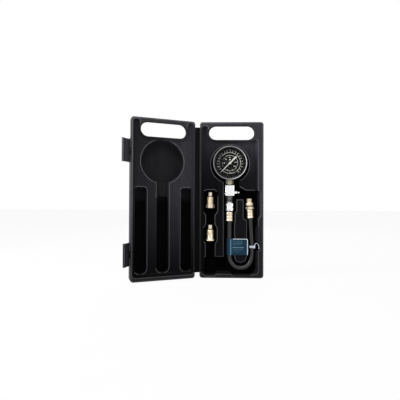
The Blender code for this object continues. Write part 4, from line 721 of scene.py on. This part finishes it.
def hexagon(flats, bottom, top, chamfer, place, lean=0.0):
    """A spanner hexagon with its corners turned off at both ends."""
    fresh_start()
    height = top - bottom
    corner = flats / math.sqrt(3)
    bpy.ops.mesh.primitive_cylinder_add(vertices=6, radius=corner * MM, depth=height * MM)
    prism = bpy.context.object
    prism.rotation_euler = (0, 0, math.radians(30))
    apply_place()
    half = height / 2
    inner = flats / 2 + 0.1
    outer = corner + 0.3
    guard = [
        (0, -half), (inner, -half), (outer, -half + chamfer), (outer, half - chamfer),
        (inner, half), (0, half),
    ]
    cut_by(prism, turn(guard, (0, 0, 0)), "INTERSECT")
    tilt = Matrix.Rotation(math.radians(-lean), 4, "Y")
    lift = Matrix.Translation(Vector((0, 0, (bottom + half) * MM)))
    prism.matrix_world = Matrix.Translation(Vector(place) * MM) @ tilt @ lift
    settle(prism, 25.0)
    return prism


def fuse(first, *others):
    """Joins several meshes into one piece."""
    pick(first, *others)
    bpy.ops.object.join()
    return bpy.context.object


def thread(radius, bottom, top, pitch, depth):
    """Crests and roots of a screw thread, as profile points going up."""
    points = []
    count = int((top - bottom) / pitch)
    for i in range(count):
        start = bottom + i * pitch
        points.append((radius - depth, start))
        points.append((radius, start + pitch * 0.4))
        points.append((radius, start + pitch * 0.55))
    points.append((radius - depth, bottom + count * pitch))
    return points


def colour_choice(name, description, *shade):
    return FloatVectorProperty(
        name=name, description=description, subtype="COLOR", default=linear(*shade), min=0, max=1,
    )


class TesterSettings(bpy.types.PropertyGroup):
    case_colour: colour_choice("Case colour", "Colour of the moulded case", 56, 56, 61)
    edge_colour: colour_choice("Edge colour", "Painted paler, as the rolled edges catch the light", 92, 92, 98)
    latch_colour: colour_choice("Latch colour", "Colour of the snap latches", 50, 50, 54)
    nickel_colour: colour_choice("Nickel colour", "Warm plating of the metal ends", 238, 222, 196)
    label_colour: colour_choice("Label colour", "Field of the label on the hose", 14, 44, 60)
    print_colour: colour_choice("Print colour", "Scales and numbers on the dial", 238, 238, 228)
    number_height: FloatProperty(
        name="Number height", description="Height of the dial's outer numbers", subtype="DISTANCE",
        default=2.0 * MM, min=1 * MM, max=6 * MM,
    )
    thread_pitch: FloatProperty(
        name="Thread pitch", description="Pitch of the threads on fitting and adaptors",
        subtype="DISTANCE", default=1.25 * MM, min=0.5 * MM, max=3 * MM,
    )
    lamp_power: FloatProperty(
        name="Lamp power", description="Power of the main lamp in watts", default=9.0, min=0, max=200,
    )


def settings():
    return bpy.context.scene.tester


def warm_nickel(name):
    """The plating of the hose's metal ends and of the adaptors."""
    return satin_metal(name, tuple(settings().nickel_colour), 0.3, (1.0, 1.0, 6.0), bare=0.68)


def dress_metal(made, nickel, node):
    dress_turned(made, "base", nickel, "warm_nickel", node)


class TESTER_OT_case(bpy.types.Operator):
    """Case halves, hinge strap and latches in moulded plastic"""

    bl_idname = "tester.case"
    bl_label = "Case"

    def execute(self, context):
        self.make_half("case_base", BASE_HALF)
        self.make_half("case_lid", LID_HALF)
        # The strap and latches are painted darker towards the foot as well.
        strap = moulded_plastic("strap_plastic_finish", linear(14, 14, 15), 0.04, 0.6, 0.05, 0.3)
        colour = tuple(settings().latch_colour)
        latch = moulded_plastic("latch_plastic_finish", colour, 0.03, 0.3, 0.4, 0.6)
        pin = satin_metal("latch_pin_finish", (0.45, 0.45, 0.46), 0.3, (1.0, 1.0, 0.1))
        self.make_strap(strap)
        skin("latch_upper", "latch_upper", latch, "latch_plastic")
        skin("latch_lower", "latch_lower", latch, "latch_plastic")
        paint(pin, "latch_pin_upper", "latch_pin_lower")
        return {"FINISHED"}

    def make_half(self, node, half):
        colour = tuple(settings().case_colour)
        pale = tuple(settings().edge_colour)
        # One plastic in three finishes: the outer painted darker at 0.6 of the case colour, the edge pale as a
        # painted highlight, and the inner lighter at 0.95 with painted shade; all are painted darker low down.
        materials = (
            moulded_plastic(
                node + "_plastic", tint_by(colour, 0.6), 0.05, 0.42, 0.2, CASE_FOOT, OUTER_LIGHT,
            ),
            moulded_plastic(node + "_edge_plastic", pale, 0.02, 0.28, 0.5, 0.45, OUTER_LIGHT),
            moulded_plastic(
                node + "_inner_plastic", tint_by(colour, 0.95), 0.05, 0.6, 0.03,
                half.foot, half.light, half,
            ),
        )
        rounded_skin(node, half, materials)

    def make_strap(self, plastic):
        """The strap's thin webs reach into both halves, so that no light shows beside them."""
        strap = skin("hinge_strap", "strap", plastic, "case_plastic")
        box = node_box("hinge_strap")
        stretch(strap, (1.0 + 2 * WEB_REACH / box.size.x, 1.0, 1.0), box.middle)


class TESTER_OT_gauge(bpy.types.Operator):
    """Gauge case, bezel, lens, dial with its print, and pointer"""

    bl_idname = "tester.gauge"
    bl_label = "Gauge"

    def execute(self, context):
        box = node_box("gauge_bezel")
        self.make_bezel(box)
        self.make_lens(box.middle)
        self.make_dial(box.middle)
        black = painted("gauge_case_paint", (0.012, 0.012, 0.013), 0.35)
        skin("gauge_case", "base", black, "gauge_black", 40.0)
        white = painted("pointer_paint", linear(226, 226, 220), 0.35)
        paint(white, "gauge_pointer")
        rubber = smooth_rubber("gasket_rubber", (0.015, 0.015, 0.015), 0.6)
        paint(rubber, "lens_gasket")
        screws = satin_metal("dial_screw_finish", (0.55, 0.55, 0.53), 0.28, (1.0, 1.0, 1.0))
        paint(screws, "dial_screw_left", "dial_screw_right", "case_screw_left", "case_screw_right")
        return {"FINISHED"}

    def make_bezel(self, box):
        radius = box.size.x / 2
        deep = box.size.y
        window = radius - 4.8
        seat = 1.4
        profile = [
            (window, seat), (window, 0.95), (window + 0.35, 0.72), (window + 1.4, 0.5),
            (radius - 2.5, 0.18), (radius - 1.9, 0.02), (radius - 1.5, 0.02), (radius - 0.9, 0.22),
            (radius - 0.4, 0.6), (radius, 1.3), (radius, deep - 0.3), (radius - 0.3, deep),
            (radius - 0.9, deep), (radius - 0.9, seat),
        ]
        bezel = turn(profile, box.start("Y"), "Y", steps=128)
        # The pale crest colour is a painted highlight along the bezel's crest.
        coat = bezel_paint(
            "bezel_paint_finish", (0.008, 0.008, 0.009), linear(235, 235, 235),
            (box.middle.x, box.middle.z), radius - 1.8, 0.8,
        )
        dress_turned(bezel, "base", coat, "gauge_black", "gauge_bezel")

    def make_lens(self, middle):
        box = node_box("gauge_lens")
        wide = box.size.x / 2
        deep = box.size.y
        profile = [(0, 0), (wide - 0.2, 0), (wide, 0.2), (wide, deep), (0, deep)]
        lens = turn(profile, (middle.x, box.low.y, middle.z), "Y", steps=128)
        dress_turned(lens, "base", clear_lens("lens_finish"), "lens_clear", "gauge_lens")

    def make_dial(self, middle):
        box = node_box("gauge_dial")
        wide = box.size.x / 2
        deep = box.size.y
        profile = [(1.3, 0), (wide - 0.1, 0), (wide, 0.1), (wide, deep), (1.3, deep)]
        dial = turn(profile, (middle.x, box.low.y, middle.z), "Y", steps=128)
        self.screw_holes(dial, box.low.y)
        face = painted("dial_face_paint", (0.003, 0.003, 0.003), 0.6, 0.006, 0.05)
        dress_turned(dial, "base", face, "dial_black", "gauge_dial")
        ink = painted("dial_print_ink", tuple(settings().print_colour), 0.5, 0.004)
        place = (middle.x, box.low.y - 0.06, middle.z)
        self.make_scale("dial_outer_scale", place, ink, 20.8, 0.5, (40, 2, 2.0, 1.1), OUTER_SPAN)
        self.make_scale("dial_inner_scale", place, ink, 15.6, 0.42, (30, 5, -1.7, -0.9), INNER_SPAN)
        self.make_numbers("dial_outer_numbers", place, ink, 24.6, range(0, 21), OUTER_SPAN)
        self.make_numbers("dial_inner_numbers", place, ink, 11.2, range(0, 301, 50), INNER_SPAN)
        self.make_marks("dial_unit_marks", place, ink)

    def screw_holes(self, dial, front):
        for name in ("dial_screw_left", "dial_screw_right"):
            middle = node_box(name).middle * MM
            fresh_start()
            bpy.ops.mesh.primitive_cylinder_add(
                vertices=32, radius=1.1 * MM, depth=4 * MM, location=(middle.x, front * MM, middle.z),
                rotation=(math.pi / 2, 0, 0),
            )
            cut_by(dial, bpy.context.object)

    def make_scale(self, name, place, ink, radius, width, ticks, span):
        """An arc with its ticks, from lower left over the top to lower right.

        The ticks are their count, how often one is long, and the long and short lengths.
        """
        fresh_start()
        marks = [self.make_arc(radius, width, span)]
        count, every, long_tick, short_tick = ticks
        for i in range(count + 1):
            major = i % every == 0
            length = long_tick if major else short_tick
            angle = math.radians(SCALE_START - span * i / count)
            reach = radius + length / 2
            fresh_start()
            bpy.ops.mesh.primitive_cube_add(size=1.0)
            tick = bpy.context.object
            tick.scale = (abs(length) * MM, 0.05 * MM, (0.6 if major else 0.3) * MM)
            tick.rotation_euler = (0, -angle, 0)
            tick.location = (reach * math.cos(angle) * MM, 0, reach * math.sin(angle) * MM)
            apply_place()
            marks.append(tick)
        self.finish_print(name, place, ink, marks)

    def make_arc(self, radius, width, span):
        """A flat band: one short block is spun round the dial's centre."""
        bpy.ops.mesh.primitive_plane_add(size=1.0)
        arc = bpy.context.object
        arc.scale = (width * MM, 0.05 * MM, 1.0)
        arc.location = (radius * MM, 0, 0)
        apply_place()
        start_edit(arc)
        bpy.ops.mesh.spin(steps=90, angle=math.radians(span), center=(0, 0, 0), axis=(0, 1, 0))
        bpy.ops.object.mode_set(mode="OBJECT")
        arc.rotation_euler = (0, -math.radians(SCALE_START), 0)
        settle(arc, 20.0)
        return arc

    def make_numbers(self, name, place, ink, radius, values, span):
        """Plain numbers spread over the scale, from its start to its end."""
        words = []
        for value in values:
            angle = math.radians(SCALE_START - span * value / values[-1])
            spot = (radius * math.cos(angle), radius * math.sin(angle))
            words.append(self.letters(str(value), spot, settings().number_height))
        self.finish_print(name, place, ink, words)

    def make_marks(self, name, place, ink):
        """Plain bars where such a dial names its units."""
        marks = []
        for across, up, long, tall in DIAL_BARS:
            bpy.ops.mesh.primitive_plane_add(size=1.0)
            mark = bpy.context.object
            mark.scale = (long * MM, tall * MM, 1.0)
            mark.rotation_euler = (math.pi / 2, 0, 0)
            mark.location = (across * MM, 0, up * MM)
            apply_place()
            bpy.ops.object.modifier_add(type="SOLIDIFY")
            mark.modifiers[-1].thickness = 0.04 * MM
            bpy.ops.object.modifier_add(type="BEVEL")
            mark.modifiers[-1].width = 0.2 * MM
            mark.modifiers[-1].affect = "EDGES"
            for change in [item.name for item in mark.modifiers]:
                bpy.ops.object.modifier_apply(modifier=change)
            marks.append(mark)
        self.finish_print(name, place, ink, marks)

    def letters(self, text, spot, height):
        fresh_start()
        bpy.ops.object.text_add()
        made = bpy.context.object
        made.data.body = text
        made.data.size = height * 1.32
        made.data.align_x = "CENTER"
        made.data.align_y = "CENTER"
        made.data.extrude = 0.02 * MM
        made.data.offset = height * 0.03
        made.data.resolution_u = 3
        made.rotation_euler = (math.pi / 2, 0, 0)
        made.location = (spot[0] * MM, 0, spot[1] * MM)
        bpy.ops.object.convert(target="MESH")
        made = bpy.context.object
        merge(made, 1e-6)
        apply_place()
        return made

    def finish_print(self, name, place, ink, marks):
        """Joins what is printed in one go and sets it on the dial."""
        made = fuse(*marks)
        made.location = Vector(place) * MM
        apply_place()
        dress(made, name, "base", ink, "dial_black")


class TESTER_OT_movement(bpy.types.Operator):
    """Finishes of the movement inside the gauge"""

    bl_idname = "tester.movement"
    bl_label = "Movement"

    def execute(self, context):
        brass = satin_metal("movement_brass_finish", linear(214, 178, 108), 0.26, (1.0, 1.0, 0.2))
        steel = satin_metal("movement_steel_finish", (0.56, 0.56, 0.57), 0.24, (1.0, 0.1, 1.0))
        paint(
            brass, "pinion_arbor", "sector_gear", "movement_link", "movement_front_plate",
            "movement_back_plate", "bourdon_tube", "tube_end_block",
        )
        paint(steel, "movement_pillar_left", "movement_pillar_right", "hairspring")
        return {"FINISHED"}


class TESTER_OT_stem(bpy.types.Operator):
    """Gauge socket, valve block, release valve and quick coupler"""

    bl_idname = "tester.stem"
    bl_label = "Stem"

    def execute(self, context):
        chrome = satin_metal("chrome_finish", (0.9, 0.9, 0.91), 0.1, (1.0, 1.0, 6.0), 0.02)
        steel = satin_metal("steel_finish", (0.13, 0.13, 0.135), 0.3, (1.0, 1.0, 6.0), bare=0.8)
        warm = linear(176, 170, 148)
        nickel = satin_metal("socket_nickel_finish", warm, 0.34, (1.0, 1.0, 6.0), bare=0.7)
        skin("gauge_socket", "base", nickel, "warm_nickel", 30.0)
        skin("valve_block", "base", chrome, "bright_chrome", 40.0)
        skin("coupler_plug", "base", steel, "steel", 30.0)
        self.make_sleeve(chrome)
        self.make_valve(chrome)
        paint(steel, "coupler_body", "release_spring")
        self.make_spring(steel)
        paint(chrome, *[f"coupler_ball_{i}" for i in range(1, 5)])
        return {"FINISHED"}

    def make_spring(self, steel):
        """The sleeve's spring, drawn short by the sleeve's travel, so that the two stay apart."""
        spring = skin("sleeve_spring", "base", steel, "steel")
        box = node_box("sleeve_spring")
        stretch(spring, (1.0, 1.0, 1.0 - SLEEVE_TRAVEL / box.size.z), box.low)

    def make_sleeve(self, chrome):
        box = node_box("coupler_sleeve")
        radius = box.size.x / 2
        tall = box.size.z
        bore = radius - 2.2
        profile = [
            (radius - 1.0, 0.0), (radius - 0.55, 0.0), (radius, 0.55), (radius, 2.2),
            (radius - 0.25, 2.45), (radius - 0.25, 2.75), (radius, 3.0), (radius, 6.1),
            (radius - 0.35, 6.5), (radius - 0.9, 6.8), (radius - 0.9, 8.2), (radius - 0.35, 8.5),
            (radius, 8.9), (radius, tall - 4.6), (radius - 0.25, tall - 4.35),
            (radius - 0.25, tall - 4.05), (radius, tall - 3.8), (radius, tall - 2.1),
            (radius - 0.3, tall - 1.8), (bore + 0.7, tall), (bore, tall), (bore, 10.0),
            (radius - 1.0, 10.0),
        ]
        sleeve = turn(profile, box.start("Z"))
        dress_turned(sleeve, "sleeve", chrome, "bright_chrome", "coupler_sleeve")

    def make_valve(self, chrome):
        box = node_box("valve_housing")
        middle = box.middle
        radius = box.size.y / 2
        length = box.size.x
        seat = 5.3
        profile = [
            (1.4, 0.0), (2.8, 0.0), (2.8, seat), (radius - 0.4, seat), (radius, seat + 0.4),
            (radius, seat + 1.5), (radius - 0.3, seat + 1.8), (radius - 0.3, seat + 2.4),
            (radius, seat + 2.7), (radius, length - 0.6), (radius - 0.5, length), (2.45, length),
            (2.4, length - 0.1), (2.4, length - 3.5), (1.4, length - 3.5),
        ]
        housing = turn(profile, box.start("X"), "X", steps=64)
        dress_turned(housing, "base", chrome, "bright_chrome", "valve_housing")
        box = node_box("release_button")
        radius = box.size.y / 2
        length = box.size.x
        head = length - 2.7
        profile = [
            (0, 0), (1.1, 0), (1.1, head), (radius - 0.3, head), (radius, head + 0.3),
            (radius, length - 0.7), (radius - 0.25, length - 0.25), (radius - 0.8, length), (0, length),
        ]
        button = turn(profile, (box.low.x, middle.y, middle.z), "X", steps=64)
        dress_turned(button, "button", chrome, "bright_chrome", "release_button")


class TESTER_OT_hose(bpy.types.Operator):
    """Hose, its ferrules and the engine fitting"""

    bl_idname = "tester.hose"
    bl_label = "Hose"

    def execute(self, context):
        nickel = warm_nickel("hose_nickel_finish")
        rubber = smooth_rubber("hose_rubber_finish", linear(13, 13, 14), 0.34)
        seal = smooth_rubber("seal_rubber_finish", (0.012, 0.012, 0.012), 0.5)
        steel = satin_metal("check_pin_finish", (0.55, 0.55, 0.55), 0.25, (1.0, 1.0, 6.0))
        self.make_hose(rubber)
        self.make_ferrules(nickel)
        self.make_fitting(nickel)
        paint(seal, "fitting_o_ring")
        paint(steel, "check_valve_pin")
        return {"FINISHED"}

    def make_hose(self, rubber):
        box = node_box("hose")
        radius = box.size.y / 2
        depth = box.middle.y
        route = [Vector((x + CASE_EDGE_X, depth, z)) for x, z in HOSE_ROUTE]
        fresh_start()
        curve = bpy.data.curves.new("hose_tube", "CURVE")
        curve.dimensions = "3D"
        curve.bevel_depth = radius * MM
        curve.bevel_resolution = 8
        curve.use_fill_caps = True
        points = smooth_route(route, 8)
        line = curve.splines.new("POLY")
        line.points.add(len(points) - 1)
        for spot, point in zip(line.points, points):
            spot.co = (*(point * MM), 1.0)
        hose = bpy.data.objects.new("hose_tube", curve)
        bpy.context.collection.objects.link(hose)
        pick(hose)
        bpy.ops.object.convert(target="MESH")
        hose = bpy.context.object
        merge(hose, 1e-6)
        bpy.ops.object.shade_smooth_by_angle(angle=math.radians(40))
        dress(hose, "hose_tube", "base", rubber, "hose_rubber", "hose")

    def make_ferrules(self, nickel):
        box = node_box("hose_ferrule_gauge_end")
        ferrule = turn(self.ferrule(6.6, box.size.z), box.start("Z"))
        dress_metal(ferrule, nickel, "hose_ferrule_gauge_end")
        length = 17.4
        down = Vector((0, 0, -0.3 - length))
        along = Matrix.Rotation(math.radians(-SPANNER_LEAN), 3, "Y") @ down
        ferrule = turn(self.ferrule(6.2, length), self.fitting_place() + along, lean=SPANNER_LEAN)
        dress_metal(ferrule, nickel, "hose_ferrule_engine_end")

    def ferrule(self, radius, length):
        """A crimped sleeve: rolled mouth, two crimped waists and a rounded shoulder."""
        bore = 5.3
        return [
            (bore, 0.0), (radius - 0.1, 0.0), (radius + 0.3, 0.35), (radius + 0.3, 0.75), (radius, 1.3),
            (radius, 3.4), (radius - 0.3, 3.9), (radius - 0.3, 6.0), (radius, 6.5), (radius, 8.6),
            (radius - 0.3, 9.1), (radius - 0.3, 11.2), (radius, 11.7), (radius, length - 2.4),
            (radius - 0.25, length - 1.2), (radius - 0.8, length - 0.4), (radius - 1.6, length),
            (3.3, length), (3.3, length - 2.0), (bore, length - 2.0),
        ]

    def fitting_place(self):
        """The point on the fitting's axis at the foot of its hexagon."""
        across, up = FITTING_FOOT
        return Vector((across + CASE_EDGE_X, node_box("hose").middle.y, up))

    def make_fitting(self, nickel):
        place = self.fitting_place()
        spanner = hexagon(FITTING_FLATS, 0.0, 5.0, 0.8, place, SPANNER_LEAN)
        ring = FITTING_FLATS / 2
        waist = ring - 2.0
        tip = 5.3
        bore = 1.9
        body = [
            (0, -2.0), (3.0, -2.0), (3.0, 0.6), (waist, 0.6), (waist, 7.0), (ring - 0.7, 7.0),
            (ring, 7.6),
            *thread(ring, 7.8, 12.4, settings().thread_pitch / MM, 0.45), (ring - 0.7, 13.0),
            (tip - 0.9, 13.0), (tip - 0.9, 15.0), (tip - 0.3, 15.0), *thread(tip, 15.2, 19.6, 1.0, 0.4),
            (tip, 20.3), (tip - 1.1, 21.4), (bore + 0.4, 21.4), (bore, 21.0), (bore, 8.0), (0, 8.0),
        ]
        stem = turn(body, place, lean=SPANNER_LEAN)
        dress_metal(fuse(spanner, stem), nickel, "engine_fitting")


class TESTER_OT_adaptors(bpy.types.Operator):
    """The two screw-in adaptors with their seals"""

    bl_idname = "tester.adaptors"
    bl_label = "Adaptors"

    def execute(self, context):
        nickel = warm_nickel("adaptor_nickel_finish")
        seal = smooth_rubber("adaptor_seal_finish", (0.012, 0.012, 0.012), 0.5)
        pitch = settings().thread_pitch / MM
        self.make_long(nickel, pitch)
        self.make_short(nickel, pitch)
        paint(seal, "adaptor_long_o_ring", "adaptor_short_o_ring")
        return {"FINISHED"}

    def make_long(self, nickel, pitch):
        box = node_box("adaptor_long")
        place = box.start("Z")
        flange, shoulder, seat, end = 6.2, 22.5, 24.2, box.size.z
        tip = 4.05
        wide = 6.55
        spanner = self.hollow_hexagon(box.size.y, flange, place)
        profile = [
            (wide, flange - 0.4), (wide, flange + 1.6),
            *thread(wide, flange + 1.8, shoulder - 1.6, pitch, 0.4),
            (wide - 0.05, shoulder - 1.0), (5.7, shoulder), *self.adaptor_tip(tip, shoulder, seat, end),
            (ADAPTOR_BORE, flange - 0.4),
        ]
        dress_metal(fuse(spanner, turn(profile, place)), nickel, "adaptor_long")

    def adaptor_tip(self, tip, shoulder, seat, end):
        """From the shoulder over the seal's groove and the tip, and down the bore."""
        return [
            (tip - 0.8, shoulder), (tip - 0.8, seat), (tip, seat + 0.2), (tip, end - 0.9),
            (tip - 0.9, end), (2.8, end), (2.6, end - 0.2), (2.6, 12.0), (ADAPTOR_BORE, 12.0),
        ]

    def hollow_hexagon(self, flats, tall, place):
        spanner = hexagon(flats, 0.0, tall, 1.0, place)
        fresh_start()
        bpy.ops.mesh.primitive_cylinder_add(
            vertices=64, radius=ADAPTOR_BORE * MM, depth=4 * tall * MM, location=Vector(place) * MM,
        )
        cut_by(spanner, bpy.context.object)
        return spanner

    def make_short(self, nickel, pitch):
        box = node_box("adaptor_short")
        foot = box.size.x / 2
        skirt, shoulder, seat, end = 5.0, 22.0, 23.7, box.size.z
        wide = 6.45
        profile = [
            (ADAPTOR_BORE, 0.3), (5.1, 0.0), (foot - 0.5, 0.0), (foot, 0.5), (foot, 2.0),
            (foot - 0.5, 2.8), (7.0, 4.2), (wide, skirt), (wide, shoulder - 7.0),
            *thread(wide, shoulder - 6.8, shoulder - 1.0, pitch, 0.4), (5.8, shoulder),
            *self.adaptor_tip(4.5, shoulder, seat, end),
        ]
        dress_metal(turn(profile, box.start("Z")), nickel, "adaptor_short")


class TESTER_OT_label(bpy.types.Operator):
    """The printed label and the nylon tie on the hose"""

    bl_idname = "tester.label"
    bl_label = "Label and tie"

    def execute(self, context):
        low, high = node_box("hose_label")
        film = label_film(
            "label_film_finish", tuple(settings().label_colour), linear(214, 222, 228),
            (low.x, low.z), (high.x, high.z), low.x + 7.8,
        )
        skin("hose_label", "base", film, "label_film", 40.0)
        skin("hose_tie", "base", nylon("tie_nylon_finish", linear(206, 214, 226)), "tie_nylon", 40.0)
        return {"FINISHED"}


class TESTER_OT_stage(bpy.types.Operator):
    """Camera, lamps, world and floor"""

    bl_idname = "tester.stage"
    bl_label = "Stage"

    def execute(self, context):
        scene = context.scene
        scene.view_settings.view_transform = "Standard"
        self.make_camera(scene)
        self.make_world(scene)
        self.make_floor()
        power = settings().lamp_power
        for name, place, size, share in LAMPS:
            self.make_lamp(name, place, size, power * share)
        return {"FINISHED"}

    def make_camera(self, scene):
        data = bpy.data.cameras.new("photo_camera")
        data.lens = CAMERA_LENS
        data.sensor_width = 36.0
        data.clip_start = 0.01
        camera = bpy.data.objects.new("photo_camera", data)
        scene.collection.objects.link(camera)
        camera.location = Vector(CAMERA_PLACE) * MM
        turned = (
            Matrix.Rotation(math.radians(CAMERA_YAW), 3, "Z")
            @ Matrix.Rotation(math.radians(CAMERA_PITCH), 3, "X")
            @ Matrix.Rotation(math.radians(CAMERA_ROLL), 3, "Y")
            @ Matrix.Rotation(math.radians(90), 3, "X")
        )
        camera.rotation_euler = turned.to_euler()
        scene.camera = camera

    def make_world(self, scene):
        backdrop = Backdrop("studio_world")
        scene.world = backdrop.world
        soft = backdrop.node("ShaderNodeBackground", None, {"Strength": SOFT_LIGHT})
        white = backdrop.node("ShaderNodeBackground", None, {"Color": (1.0, 1.0, 1.0)})
        backdrop.mix(backdrop.seen(), soft, white)

    def make_floor(self):
        fresh_start()
        bpy.ops.mesh.primitive_plane_add(size=FLOOR_SIZE, location=(0, 0, FLOOR_LEVEL))
        floor = bpy.context.object
        floor.name = "studio_floor"
        finish = Finish("studio_floor_finish")
        finish.set(Base_Color=(0.86, 0.86, 0.86), Roughness=0.9, Specular_IOR_Level=0.0)
        light = finish.node("ShaderNodeEmission", None, {"Color": (1.0, 1.0, 1.0), "Strength": 1.0})
        finish.mix(finish.seen() * FLOOR_GLOW, Field(finish, finish.shader.outputs[0]), light)
        floor.data.materials.append(finish.material)

    def make_lamp(self, name, place, size, power):
        data = bpy.data.lights.new(name, "AREA")
        data.shape = "RECTANGLE"
        data.size, data.size_y = size
        data.energy = power
        lamp = bpy.data.objects.new(name, data)
        bpy.context.scene.collection.objects.link(lamp)
        lamp.location = place
        aim = Vector(LAMP_TARGET) - Vector(place)
        lamp.rotation_euler = aim.to_track_quat("-Z", "Y").to_euler()


class TESTER_PT_panel(bpy.types.Panel):
    bl_idname = "TESTER_PT_panel"
    bl_label = "Compression tester"
    bl_space_type = "VIEW_3D"
    bl_region_type = "UI"
    bl_category = "Tester"

    def draw(self, context):
        for name in TesterSettings.__annotations__:
            self.layout.prop(context.scene.tester, name)
        for operator in OPERATORS:
            self.layout.operator(operator.bl_idname)


OPERATORS = (
    TESTER_OT_case, TESTER_OT_gauge, TESTER_OT_movement, TESTER_OT_stem, TESTER_OT_hose,
    TESTER_OT_adaptors, TESTER_OT_label, TESTER_OT_stage,
)
CLASSES = (TesterSettings, *OPERATORS, TESTER_PT_panel)


def smooth_route(points, steps):
    """Points along a smooth curve through the given ones."""
    ends = [points[0], *points, points[-1]]
    route = []
    for p, q, r, s in zip(ends, ends[1:], ends[2:], ends[3:]):
        for i in range(steps):
            t = i / steps
            bend = (2 * p - 5 * q + 4 * r - s) * t * t + (3 * q - p - 3 * r + s) * t ** 3
            route.append(0.5 * (2 * q + (r - p) * t + bend))
    route.append(points[-1])
    return route


def register():
    for item in CLASSES:
        bpy.utils.register_class(item)
    bpy.types.Scene.tester = PointerProperty(type=TesterSettings)


def unregister():
    del bpy.types.Scene.tester
    for item in reversed(CLASSES):
        bpy.utils.unregister_class(item)


def main():
    register()
    bpy.ops.tester.case()
    bpy.ops.tester.gauge()
    bpy.ops.tester.movement()
    bpy.ops.tester.stem()
    bpy.ops.tester.hose()
    bpy.ops.tester.adaptors()
    bpy.ops.tester.label()
    bpy.ops.tester.stage()


if __name__ == "__main__":
    main()
